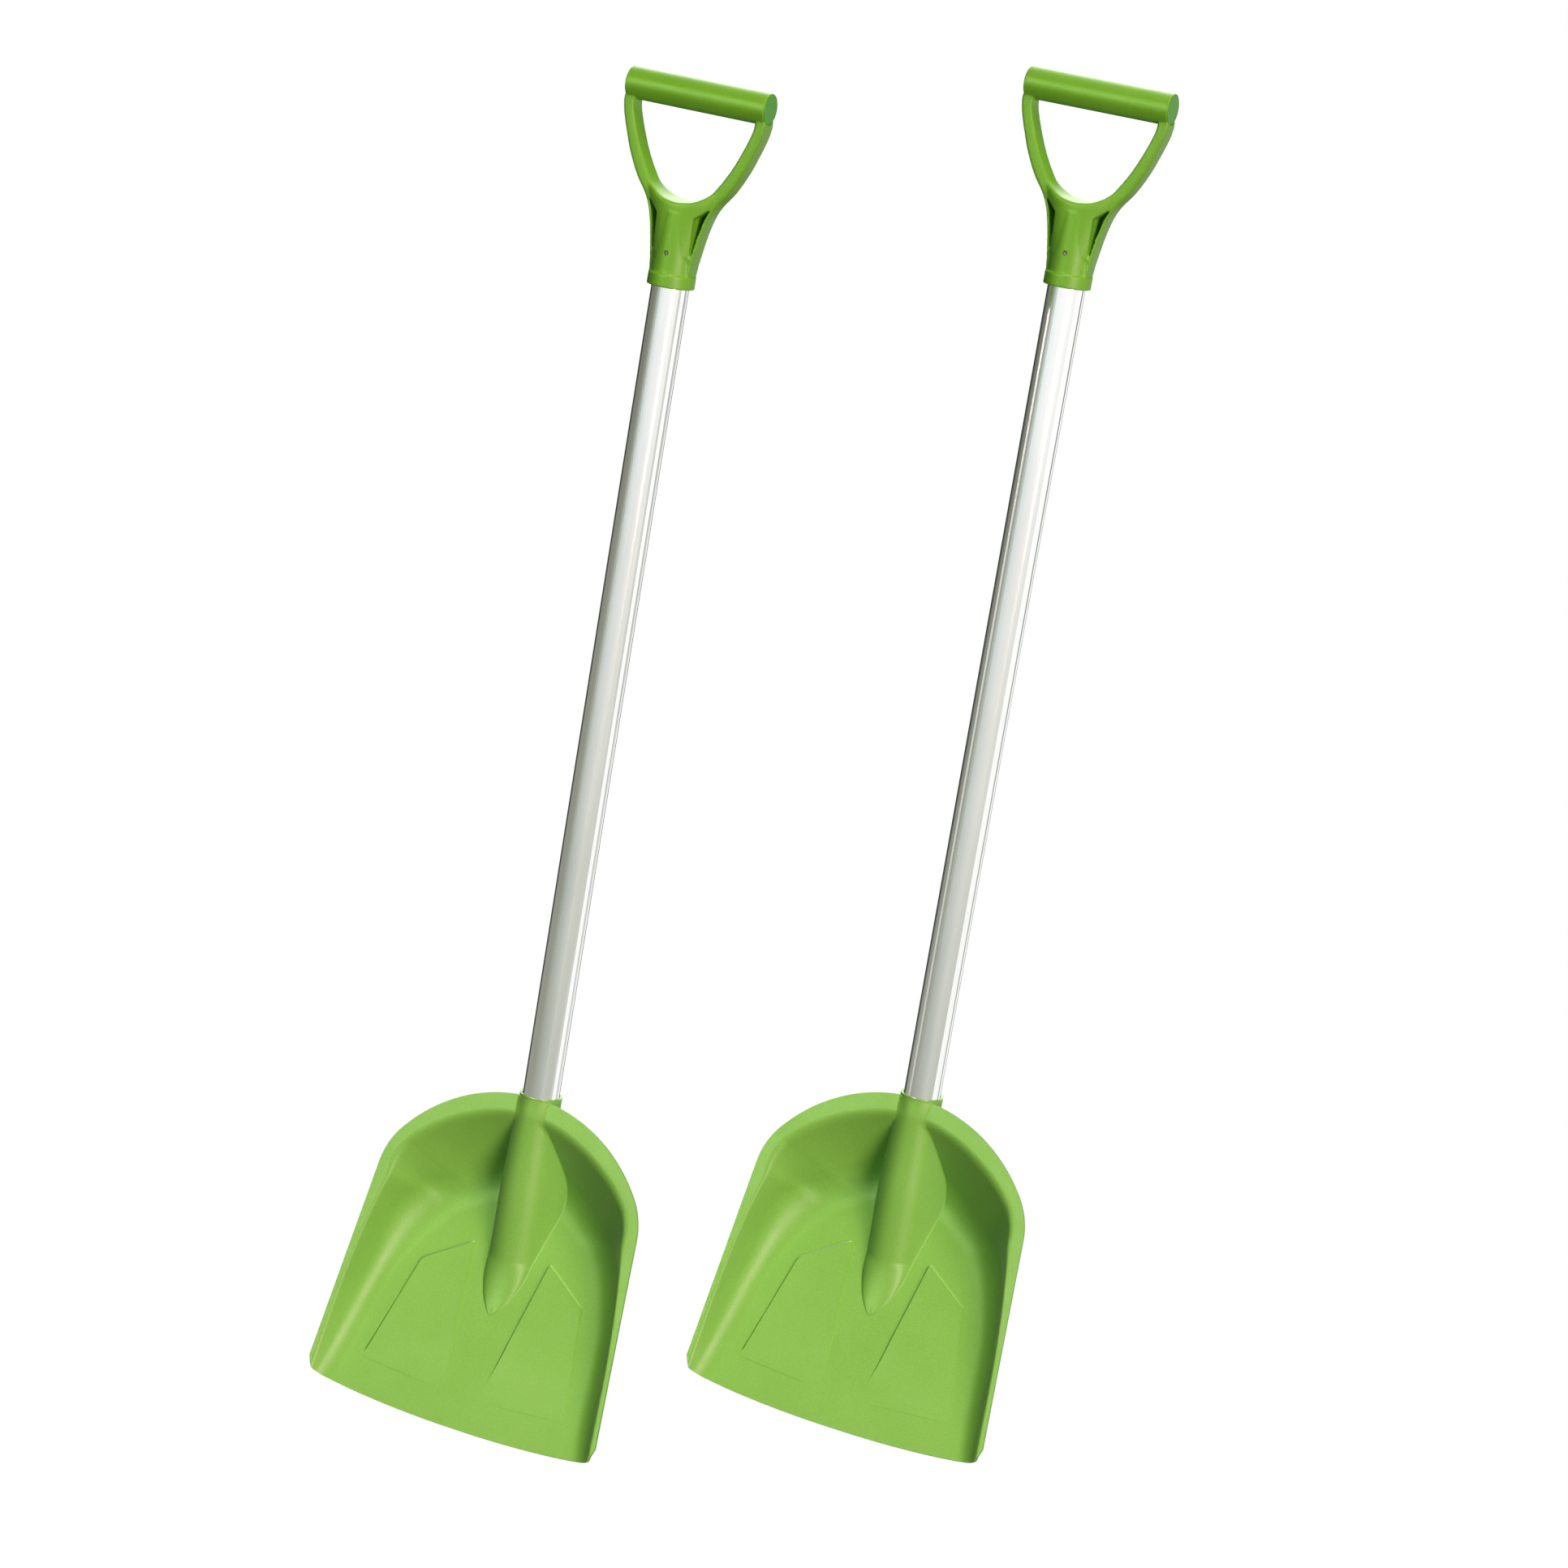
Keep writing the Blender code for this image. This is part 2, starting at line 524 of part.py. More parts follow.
def build_tube(name):
    r, w = TUBE_R, TUBE_WALL
    ob = turned(name, [(Z_TUBE_LOW, r - 0.3), (Z_TUBE_LOW + 0.3, r), (Z_TUBE_TOP - 0.3, r), (Z_TUBE_TOP, r - 0.3)], seg=48)
    boolean(ob, turned("tool_inner", [(Z_TUBE_LOW - 5, r - w), (Z_TUBE_TOP + 5, r - w)], seg=48), "DIFFERENCE")
    boolean(ob, turned("tool_hole_a", [(-r - 3, 1.5), (-r + 4, 1.5)], axis="Y", centre=(0, 0, Z_GRIP_SCREW), seg=16), "DIFFERENCE")
    boolean(ob, turned("tool_hole_b", [(r - 4, 1.5), (r + 3, 1.5)], axis="Y", centre=(0, 0, Z_SOCKET_SCREW), seg=16), "DIFFERENCE")
    tidy(ob)
    return ob


def build_screw(name, side, z, wall_r):
    """Small pan screw sunk in its hole: head inside the plastic wall, shank through the tube wall."""
    face = side * (wall_r - 0.7)
    under = side * (TUBE_R + FIT_GAP + 0.25)
    tip = side * (TUBE_R - 4.0)
    prof = [(tip, 0.5), (tip + side * 0.9, 1.2), (under - side * 0.01, 1.2), (under, 1.8), (face - side * 0.4, 1.8), (face, 1.4)]
    return turned(name, prof, axis="Y", centre=(0, 0, z), seg=16)


def build_plug(name, side):
    """End cap of the bar: a round disc over the bar's end with a spigot that goes into the hollow bar."""
    r = BAR_BORE_R - FIT_GAP
    a, b = side * BAR_HALF, side * (BAR_HALF - CAP_FLANGE)
    prof = [(a, CAP_FLANGE_R - 0.4), (a - side * 0.4, CAP_FLANGE_R), (b, CAP_FLANGE_R), (b - side * 0.01, r), (b - side * 8.0, r), (b - side * 8.5, r - 0.5)]
    return turned(name, prof, axis="X", centre=(0, 0, Z_BAR), seg=36)


def shade(ob, degrees=32):
    ob.data.polygons.foreach_set("use_smooth", [True] * len(ob.data.polygons))
    try:
        ob.data.set_sharp_from_angle(angle=math.radians(degrees))
    except AttributeError:
        pass


def place(ob, dx, dy, dz):
    ob.data.transform(Matrix.Translation(Vector((dx, dy, dz)) * MM))



def main():
    clear_scene()
    for tag, half in (("shovel_a", -0.5), ("shovel_b", 0.5)):
        parts = [
            (build_scoop(tag + "_scoop"), "scoop_green"),
            (build_tube(tag + "_shaft_tube"), "tube_aluminium"),
            (build_grip(tag + "_d_grip"), "grip_green"),
            (build_plug(tag + "_grip_plug_left", -1), "grip_green"),
            (build_plug(tag + "_grip_plug_right", 1), "grip_green"),
            (build_screw(tag + "_grip_screw", -1, Z_GRIP_SCREW, BODY_R_LOW), "screw_steel"),
            (build_screw(tag + "_socket_screw", 1, Z_SOCKET_SCREW, BOSS_R), "screw_steel"),
        ]
        dx, dy = half * PITCH_X, half * PITCH_Y + Y_SHIFT
        dz = -Z_TIP + (PITCH_Z if half > 0 else 0.0)
        for ob, kind in parts:
            place(ob, dx, dy, dz)
            ob.data.materials.clear()
            ob.data.materials.append(material(ob.name, kind))
            shade(ob)


main()
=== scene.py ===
"""Looks of the pair of scoop shovels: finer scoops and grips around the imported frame, materials, light, camera."""
import math

import bmesh
import bpy
import numpy as np
from mathutils import Matrix, Vector
from mathutils.bvhtree import BVHTree


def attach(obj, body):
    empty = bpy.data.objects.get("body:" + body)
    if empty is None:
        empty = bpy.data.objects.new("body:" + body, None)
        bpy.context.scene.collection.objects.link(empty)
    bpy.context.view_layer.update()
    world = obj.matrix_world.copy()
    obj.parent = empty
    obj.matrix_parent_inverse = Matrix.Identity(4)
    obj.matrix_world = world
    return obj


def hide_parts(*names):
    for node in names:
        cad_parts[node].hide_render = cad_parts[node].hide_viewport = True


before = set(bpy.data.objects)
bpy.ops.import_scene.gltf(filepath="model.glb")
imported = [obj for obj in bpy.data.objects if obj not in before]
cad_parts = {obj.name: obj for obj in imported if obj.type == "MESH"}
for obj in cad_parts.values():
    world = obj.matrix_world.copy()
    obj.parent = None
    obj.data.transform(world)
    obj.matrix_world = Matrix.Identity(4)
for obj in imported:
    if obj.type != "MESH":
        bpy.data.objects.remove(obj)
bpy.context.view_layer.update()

MM = 0.001

# ---- where the two shovels hang ------------------------------------------------------------
PITCH_X, PITCH_Y, PITCH_Z = 295.4, 139.7, 53.9   # second shovel, measured from the first
Y_SHIFT = 30.73                                   # puts the middle of the pair's depth on Y = 0
Z_TIP = -289.90                                   # lowest point of a scoop, from its socket mouth

# ---- tube ----------------------------------------------------------------------------------
TUBE_R, TUBE_WALL = 16.0, 1.2
Z_TUBE_LOW, Z_TUBE_TOP = -90.0, 772.0
FIT_GAP = 0.3

# ---- scoop ---------------------------------------------------------------------------------
SHEET = 2.8
RIM_Y0, RIM_SLOPE = -12.0, 0.27                   # rim plane:  y = RIM_Y0 + RIM_SLOPE z
FLOOR_Y0, FLOOR_SLOPE = 70.4, 0.522               # floor plane: y = FLOOR_Y0 + FLOOR_SLOPE z
TOP_ARC_R, Z_RIM_TOP = 146.0, -1.0
SHOULDER_R = 62.0
SIDE_X, SIDE_Z, SIDE_TAPER = 128.6, -98.0, 0.0855 # a point on the straight side, and its flare
Z_RIM_END = -264.0
FLANGE_TOP, FLANGE_SHOULDER, FLANGE_END = 18.0, 13.0, 3.6
FLANGE_FADE = 55.0                                # distance over which the side flange narrows
WALL_K_TOP, WALL_K_SIDE, WALL_K_FRONT = 0.70, 2.15, 1.5   # steepness of the wall behind the rim
LIP_TOP, LIP_SIDE = 5.5, 1.6                      # half-width of the rounded edge between rim and wall
FOLD_R_BACK, FOLD_R_FRONT = 38.0, 19.0            # radius between wall and floor
Z_SPINE_TOP, Z_SPINE_SIDE = -150.0, -192.0        # where the sections meet the middle line
Z_FRONT_MID = -288.6
CORNER_DROP, CORNER_REACH = 16.8, 5.5
STATIONS_SIDE, STATIONS_SHOULDER, STATIONS_TOP = 40, 18, 40
RIM_STEPS, LIP_STEPS, WALL_STEPS, FOLD_STEPS, FLOOR_STEPS = 3, 8, 7, 18, 9

# ---- socket ridge --------------------------------------------------------------------------
SOCKET_R, BOSS_R = 18.6, 18.6
Z_BORE_END = -92.0
RIDGE_FLANK_DEG = 68.0
Z_RIDGE_FADE, Z_RIDGE_TIP, RIDGE_FADE_HALF, RIDGE_TIP_DROP = -150.0, -197.0, 20.6, 9.6
Z_CHANNEL_TOP, Z_CHANNEL_END = -97.0, -180.0
RIDGE_SIDE_POINTS, FOOT_POINTS, RIDGE_FOOT = 32, 8, 3.2

# ---- raised panels of the floor (half-width x, height z) -------------------------------------
PANEL = ((37.6, -147.6), (78.5, -171.5), (100.0, -256.0), (17.5, -260.0))
PANEL_RISE = 2.5
PANEL_OUTLINE = ((38.2, -146.6), (79.5, -171.0), (101.0, -256.0), (17.0, -262.0), (24.5, -229.0))
PANEL_CORNERS = (2.5, 2.0, 4.0, 4.0, 18.0)
PANEL_STEP, PANEL_Z_FULL, PANEL_Z_END = 1.6, -196.0, -262.0

# ---- D-grip --------------------------------------------------------------------------------
Z_BAR, BAR_R, BAR_HALF, BAR_BORE_R = 873.0, 13.4, 65.0, 10.6
Z_COLLAR, Z_RING_TOP, RING_R = 713.0, 724.0, 20.2
BODY_R_LOW, BODY_R_TOP, Z_BODY_TOP, Z_GRIP_BORE_TOP = 18.6, 18.0, 782.0, 774.0
ARM_HALF_DEPTH = 8.2
SADDLE_HALF_DEPTH, Z_SADDLE_FULL, Z_SADDLE_TOP = 17.4, 782.0, 812.0
CAP_FLANGE, CAP_FLANGE_R = 1.3, 12.5             # end caps of the bar
OUTER_EDGE = ((64.2, 873.0), (64.6, 866.0), (66.0, 859.5), (63.9, 847.6), (59.2, 833.6), (52.6, 816.6), (43.6, 799.6),
              (33.5, 785.8), (28.4, 775.5), (24.5, 762.0), (21.5, 746.0), (19.2, 731.0), (18.4, 720.0))
INNER_EDGE = ((56.0, 873.0), (56.0, 857.6), (54.6, 850.0), (49.4, 835.5), (42.1, 819.0), (33.4, 804.0),
              (25.6, 793.8), (14.0, 786.6), (0.0, 784.2))
WINDOW = ((17.0, 773.0), (29.6, 784.0), (25.2, 774.0), (21.0, 757.0), (18.4, 740.0), (17.0, 740.0))
WEB_Y = 9.0
Z_GRIP_SCREW, Z_SOCKET_SCREW = 741.6, -30.0

def make_object(name, verts, faces):
    me = bpy.data.meshes.new(name)
    me.from_pydata([tuple(v) for v in verts], [], faces)
    ob = bpy.data.objects.new(name, me)
    bpy.context.scene.collection.objects.link(ob)
    bm = bmesh.new()
    bm.from_mesh(me)
    bmesh.ops.remove_doubles(bm, verts=bm.verts, dist=1e-5)
    bmesh.ops.recalc_face_normals(bm, faces=bm.faces)
    bm.to_mesh(me)
    bm.free()
    return ob


def loft(name, rings):
    """Closed solid through rings of equal point counts; the end rings are closed with flat caps."""
    n = len(rings[0])
    verts = [Vector(p) * MM for ring in rings for p in ring]
    faces = []
    for k in range(len(rings) - 1):
        for i in range(n):
            j = (i + 1) % n
            faces.append((k * n + i, k * n + j, (k + 1) * n + j, (k + 1) * n + i))
    faces.append(tuple(range(n)))
    faces.append(tuple((len(rings) - 1) * n + i for i in range(n)))
    return make_object(name, verts, faces)


def turned(name, profile, axis="Z", centre=(0, 0, 0), seg=96):
    """Solid of revolution from (distance along the axis, radius) pairs."""
    rings = []
    for a, r in profile:
        ring = []
        for k in range(seg):
            t = 2 * math.pi * (k + 0.5) / seg
            c, s = r * math.cos(t), r * math.sin(t)
            if axis == "Z":
                p = (c, s, a)
            elif axis == "X":
                p = (a, c, s)
            else:
                p = (c, a, s)
            ring.append(tuple(p[i] + centre[i] for i in range(3)))
        rings.append(ring)
    return loft(name, rings)


def prism(name, outline, y0, y1):
    """Straight prism along Y from an outline of (x, z) points."""
    return loft(name, [[(x, y0, z) for x, z in outline], [(x, y1, z) for x, z in outline]])


def boolean(target, tool, op):
    mod = target.modifiers.new(op + "_" + tool.name, "BOOLEAN")
    mod.operation = op
    mod.solver = "EXACT"
    mod.object = tool
    tool.hide_render = True
    tool.display_type = "WIRE"
    bpy.context.view_layer.update()
    deps = bpy.context.evaluated_depsgraph_get()
    me = bpy.data.meshes.new_from_object(target.evaluated_get(deps))
    target.modifiers.clear()
    old = target.data
    target.data = me
    bpy.data.meshes.remove(old)
    bpy.data.objects.remove(tool, do_unlink=True)
    return target


def bake_modifiers(ob):
    bpy.context.view_layer.update()
    me = bpy.data.meshes.new_from_object(ob.evaluated_get(bpy.context.evaluated_depsgraph_get()))
    ob.modifiers.clear()
    old = ob.data
    ob.data = me
    bpy.data.meshes.remove(old)


def bevel(ob, width, segments, angle):
    """Rounds the sharp edges of a mesh; width in millimetres."""
    mod = ob.modifiers.new("edge", "BEVEL")
    mod.width = width * MM
    mod.segments = segments
    mod.limit_method = "ANGLE"
    mod.angle_limit = math.radians(angle)
    mod.use_clamp_overlap = True
    bake_modifiers(ob)


def tidy(ob, dist=2e-5):
    bm = bmesh.new()
    bm.from_mesh(ob.data)
    bmesh.ops.remove_doubles(bm, verts=bm.verts, dist=dist)
    bmesh.ops.dissolve_degenerate(bm, edges=bm.edges, dist=1e-6)
    bmesh.ops.triangulate(bm, faces=[f for f in bm.faces if len(f.verts) > 4])
    bmesh.ops.recalc_face_normals(bm, faces=bm.faces)
    bm.to_mesh(ob.data)
    bm.free()


# ---- scoop ---------------------------------------------------------------------------------
def half_outline():
    """Outer rim of the right half, front corner first and top middle last: (x, z, nx, nz, share).
    The inward normal is (nx, nz). A straight flared side, a shoulder arc and a wide top arc."""
    side = np.array([-SIDE_TAPER, 1.0])
    side /= np.linalg.norm(side)
    nrm = np.array([-side[1], side[0]])
    # shoulder arc tangent to the side line and inside the top arc
    top_c = np.array([0.0, Z_RIM_TOP - TOP_ARC_R])
    p0 = np.array([SIDE_X, SIDE_Z])
    q0 = p0 + nrm * SHOULDER_R
    w = q0 - top_c
    rr = TOP_ARC_R - SHOULDER_R
    b = w.dot(side)
    c = w.dot(w) - rr * rr
    sh_c = q0 + side * (-b + math.sqrt(b * b - c))
    foot = sh_c - nrm * SHOULDER_R
    out = []
    end = p0 + side * ((Z_RIM_END - SIDE_Z) / side[1])
    for k in range(STATIONS_SIDE):
        t = k / STATIONS_SIDE
        p = end + (foot - end) * t
        out.append((p[0], p[1], nrm[0], nrm[1]))
    a0 = math.atan2(-nrm[1], -nrm[0])
    d = sh_c - top_c
    a1 = math.atan2(d[1], d[0])
    for k in range(STATIONS_SHOULDER):
        a = a0 + (a1 - a0) * k / STATIONS_SHOULDER
        out.append((sh_c[0] + SHOULDER_R * math.cos(a), sh_c[1] + SHOULDER_R * math.sin(a), -math.cos(a), -math.sin(a)))
    for k in range(STATIONS_TOP + 1):
        a = a1 + (math.pi / 2 - a1) * k / STATIONS_TOP
        out.append((TOP_ARC_R * math.cos(a), top_c[1] + TOP_ARC_R * math.sin(a), -math.cos(a), -math.sin(a)))
    return out


def smooth(t):
    t = min(1.0, max(0.0, t))
    return t * t * (3 - 2 * t)


def soft_min(a, b, r):
    h = max(r - abs(a - b), 0.0) / r
    return min(a, b) - h * h * r * 0.25


def rim_y(z):
    return RIM_Y0 + RIM_SLOPE * z


def floor_y(z):
    return FLOOR_Y0 + FLOOR_SLOPE * z


def flange_width(z, nz):
    """Width of the flat rim: widest over the top, narrow along the sides towards the front edge."""
    if z > SIDE_Z:
        return FLANGE_SHOULDER + (FLANGE_TOP - FLANGE_SHOULDER) * smooth((abs(nz) - 0.55) / 0.4)
    return FLANGE_END + (FLANGE_SHOULDER - FLANGE_END) * math.exp((z - SIDE_Z) / FLANGE_FADE)


def wall_steepness(z):
    """Gentle behind the top rim, steep along the sides, easing again towards the front corners."""
    return WALL_K_TOP + (WALL_K_SIDE - WALL_K_TOP) * smooth((-60.0 - z) / 90.0) \
        - (WALL_K_SIDE - WALL_K_FRONT) * smooth((-150.0 - z) / 130.0)


def lip_half(z):
    return LIP_SIDE + (LIP_TOP - LIP_SIDE) * smooth((z + 130.0) / 90.0)


def section(x, z, nx, nz):
    """Front face of the scoop from a rim station in to the middle line: flat rim, rounded lip,
    straight wall, fold of constant radius, flat floor. Depth is measured along +Y."""
    width = flange_width(z, nz)
    ix, iz = x + nx * width, z + nz * width
    low = min(1.0, max(0.0, (SIDE_Z - z) / (SIDE_Z - Z_RIM_END)))
    front = smooth((-z - 190.0) / (-Z_RIM_END - 190.0))
    # point of the middle line that this section runs to
    if low > 0.0:
        sz = Z_SPINE_SIDE + (Z_FRONT_MID - Z_SPINE_SIDE) * low
    else:
        sz = Z_SPINE_TOP + (Z_SPINE_SIDE - Z_SPINE_TOP) * smooth((1.0 - abs(nz)) / 0.95) ** 0.7
    length = math.hypot(ix, iz - sz)
    down = (sz - iz) / length
    y_in = rim_y(iz)
    k, m, r = wall_steepness(iz), FLOOR_SLOPE * down, RIM_SLOPE * down
    depth = floor_y(iz) - y_in
    corner = depth / (k - m)
    a, b = math.atan(k), math.atan(m)
    radius = FOLD_R_FRONT + (FOLD_R_BACK - FOLD_R_FRONT) * smooth((iz + 190.0) / 100.0)
    lip = min(lip_half(iz), 0.75 * width)
    reach = min(radius * math.tan((a - b) / 2), 0.82 * (corner - lip) / math.cos(a), 0.8 * (length - corner) / math.cos(b))
    radius = reach / math.tan((a - b) / 2)
    tw, tf = corner - reach * math.cos(a), corner + reach * math.cos(b)
    cx, cy = tw + radius * math.sin(a), k * tw - radius * math.cos(a)
    # (distance from the rim's inner edge, depth behind it)
    prof = [(-lip + 2 * lip * q / LIP_STEPS, None) for q in range(LIP_STEPS + 1)]
    for i, (t, _) in enumerate(prof):
        u = (t + lip) / (2 * lip)
        prof[i] = (t, r * t + (k - r) * lip * u * u)
    prof += [(lip + (tw - lip) * q / WALL_STEPS, k * (lip + (tw - lip) * q / WALL_STEPS)) for q in range(1, WALL_STEPS)]
    for q in range(FOLD_STEPS + 1):
        th = a + (b - a) * q / FOLD_STEPS
        prof.append((cx - radius * math.sin(th), cy + radius * math.cos(th)))
    prof += [(tf + (length - tf) * q / FLOOR_STEPS, depth + m * (tf + (length - tf) * q / FLOOR_STEPS)) for q in range(1, FLOOR_STEPS + 1)]
    prof = [(-width + (width - lip) * q / RIM_STEPS, r * (-width + (width - lip) * q / RIM_STEPS)) for q in range(RIM_STEPS)] + prof
    pts = []
    for t, d in prof:
        tau = max(t / length, 0.0)
        if t < 0.0:
            px, pz = ix + nx * t, iz + nz * t
        else:
            px, pz = ix * (1 - tau), iz + (sz - iz) * tau
        py = rim_y(pz) if t <= -lip else y_in + d
        # the front edge falls away quickly beside the rim's end, then runs in a shallow bow
        drop = CORNER_DROP * front * (1 - math.exp(-(t + width) / CORNER_REACH)) * (1 - tau) * (1 + 0.6 * tau)
        slope = RIM_SLOPE + (FLOOR_SLOPE - RIM_SLOPE) * min(1.0, max(0.0, d / depth))
        pts.append((px, py - slope * drop, pz - drop))
    return pts


def scoop_sheet():
    halves = [section(*st) for st in half_outline()]
    rows = len(halves[0])
    verts, faces = [], []
    for sec in halves:
        verts += [(x, y, z) for x, y, z in sec]
    base = len(verts)
    for sec in halves:
        verts += [(-x, y, z) for x, y, z in sec]
    for i in range(len(halves) - 1):
        for j in range(rows - 1):
            a, b = i * rows + j, i * rows + j + 1
            c, d = (i + 1) * rows + j + 1, (i + 1) * rows + j
            faces.append((a, b, c, d))
            faces.append((base + a, base + d, base + c, base + b))
    bm = bmesh.new()
    vs = [bm.verts.new(Vector(v) * MM) for v in verts]
    for f in faces:
        bm.faces.new([vs[i] for i in f])
    bmesh.ops.remove_doubles(bm, verts=bm.verts, dist=5e-5)
    bmesh.ops.dissolve_degenerate(bm, edges=bm.edges, dist=1e-5)
    bmesh.ops.recalc_face_normals(bm, faces=bm.faces)
    bm.normal_update()
    if sum(f.normal.y * f.calc_area() for f in bm.faces) > 0:
        bmesh.ops.reverse_faces(bm, faces=bm.faces)
        bm.normal_update()
    return bm


def scoop_solid(name):
    bm = scoop_sheet()
    tree = BVHTree.FromBMesh(bm)
    bm.verts.index_update()
    front = [v.co.copy() for v in bm.verts]
    back = []
    for v in bm.verts:
        n = Vector((0, 0, 0))
        for f in v.link_faces:
            n += f.normal * max(f.calc_area(), 1e-9) ** 0.5
        n.normalize()
        flat = min((n.dot(f.normal) for f in v.link_faces), default=1.0)
        back.append(v.co - n * (SHEET * MM / max(flat, 0.62)))
    faces = [tuple(v.index for v in f.verts) for f in bm.faces]
    k = len(front)
    allf = list(faces) + [tuple(k + i for i in reversed(f)) for f in faces]
    for e in bm.edges:
        if e.is_boundary:
            a, b = e.verts[0].index, e.verts[1].index
            allf.append((a, b, k + b, k + a))
    bm.free()
    ob = make_object(name, front + back, allf)
    bevel(ob, 0.9, 3, 48)
    return ob, tree


def ridge_r(z):
    """Radius of the ridge over the tube: flares just below the mouth, then tapers out slowly."""
    if z > -19.0:
        return SOCKET_R + 1.6 * smooth(-z / 19.0)
    return 20.2 + 2.6 * smooth((-19.0 - z) / 86.0)


def front_y(tree, x, z):
    hit = tree.ray_cast(Vector((x, -300.0, z)) * MM, Vector((0, 1, 0)))
    return hit[0].y / MM if hit[0] is not None else None


def ridge_half_profile(tree, z, inset, sink, n):
    """Half profile (x >= 0) from the crown down to the scoop's front face, ending in a small foot fillet.
    Depth y as a function of x: crown arc and straight flank above the fade, a closing half oval below it."""
    r = ridge_r(z) - inset
    ft = math.radians(RIDGE_FLANK_DEG)
    if z >= Z_RIDGE_FADE:
        xt = r * math.sin(ft)

        def depth(x):
            return -math.sqrt(max(r * r - x * x, 0.0)) if x < xt else -r * math.cos(ft) + (x - xt) * math.tan(ft)
        half = None
    else:
        t = (Z_RIDGE_FADE - z) / (Z_RIDGE_FADE - Z_RIDGE_TIP)
        half = max(RIDGE_FADE_HALF * max(1 - t * t, 0.0) ** 0.8 - inset * 0.9, 0.4)
        top = -ridge_r(z) - RIDGE_TIP_DROP * t ** 1.6 + inset
        fl = floor_y(z)
        h = max(fl - top, 0.15)

        def depth(x):
            return fl - h * math.sqrt(max(1 - (x / half) ** 2, 0.0)) if x < 0.995 * half else fl - h * 0.0999 + (x - 0.995 * half) * 2.5

    def front(x):
        y = front_y(tree, x, z)
        return y if y is not None else 1e6

    blend = 0.0 if inset else RIDGE_FOOT
    x, step = 0.0, 0.1
    x_start = None
    while x < 60.0:
        gap = front(x) - depth(x)
        if x_start is None and gap < blend:
            x_start = x
        if gap < -max(blend, sink):
            break
        x += step
    x_end = x
    if x_start is None:
        x_start = x_end
    pts = []
    m = n - FOOT_POINTS if blend else n
    if half is None:
        s_end = r * math.asin(min(x_start / r, 1.0)) if x_start < xt else r * ft + (x_start - xt) / math.cos(ft)
        for q in range(m + 1):
            s = s_end * q / m
            px = r * math.sin(s / r) if s < r * ft else xt + (s - r * ft) * math.cos(ft)
            pts.append((px, depth(px)))
    else:
        a1 = math.asin(min(x_start / half, 1.0))
        for q in range(m + 1):
            px = half * math.sin(a1 * q / m)
            pts.append((px, depth(px)))
    if blend:
        for q in range(1, FOOT_POINTS + 1):
            px = x_start + (x_end - x_start) * q / FOOT_POINTS
            f = front(px)
            if f > 1e5:
                f = depth(px) + blend
            pts.append((px, soft_min(depth(px), f, blend) + 0.05 * (q / FOOT_POINTS) ** 2))
        px, py = pts[-1]
        pts[-1] = (px + 0.15, py + 0.1)
    return pts


def ridge_solid(tree, name, z_list, inset, sink, back):
    rings = []
    for z in z_list:
        hp = ridge_half_profile(tree, z, inset, sink, RIDGE_SIDE_POINTS)
        right = [(x, y, z) for x, y in hp]
        left = [(-x, y, z) for x, y in reversed(hp[1:])]
        xe = hp[-1][0]
        base = []
        for q in range(1, 6):
            x = xe - 2 * xe * q / 6
            fy = front_y(tree, x, z)
            if fy is None:
                fy = floor_y(z)
            base.append((x, max(fy, hp[0][1]) + back, z))
        rings.append(right + base + left)
    return loft(name, rings)


def round_corners(points, radius, steps):
    """Closed outline with its corners rounded by quadratic arcs; only the corners with a radius are touched."""
    out = []
    n = len(points)
    for i, p in enumerate(points):
        p = np.array(p)
        a, b = np.array(points[i - 1]), np.array(points[(i + 1) % n])
        r = radius[i]
        u, v = p + (a - p) / np.linalg.norm(a - p) * r, p + (b - p) / np.linalg.norm(b - p) * r
        for q in range(steps + 1):
            t = q / steps
            out.append((1 - t) ** 2 * u + 2 * t * (1 - t) * p + t * t * v)
    return out


def panel_solid(name, side):
    """Raised field of the floor with a sloped, rounded step around it. It is tilted so that it runs out into
    the floor towards the front."""
    pts = round_corners(PANEL_OUTLINE, PANEL_CORNERS, 8)
    s = math.hypot(1.0, FLOOR_SLOPE)
    n = (0.0, -1.0 / s, FLOOR_SLOPE / s)
    mid = sum(pts) / len(pts)
    rings = []
    for grow, drop in ((2.0, -1.2), (PANEL_STEP, 0.0), (PANEL_STEP * 0.62, 0.34), (PANEL_STEP * 0.30, 0.74), (0.1, 0.95), (-0.5, 1.0)):
        ring = []
        for p, (nx, nz) in zip(pts, outward(pts)):
            x, z = p[0] + nx * grow, p[1] + nz * grow
            run = smooth((p[1] - PANEL_Z_END) / (PANEL_Z_FULL - PANEL_Z_END))
            h = -0.35 + (PANEL_RISE + 0.35) * run
            h = drop * h if drop > 0 and h > 0 else (h if drop > 0 else drop - 0.35 * (1 - run))
            ring.append((side * x, floor_y(z) + n[1] * h, z + n[2] * h))
        rings.append(ring)
    return loft(name, rings)


def outward(pts):
    """Outward unit normals of a closed outline."""
    n = len(pts)
    area = sum(pts[i - 1][0] * pts[i][1] - pts[i][0] * pts[i - 1][1] for i in range(n))
    out = []
    for i in range(n):
        d = pts[(i + 1) % n] - pts[i - 1]
        d = d / max(np.linalg.norm(d), 1e-9)
        out.append((d[1], -d[0]) if area > 0 else (-d[1], d[0]))
    return out


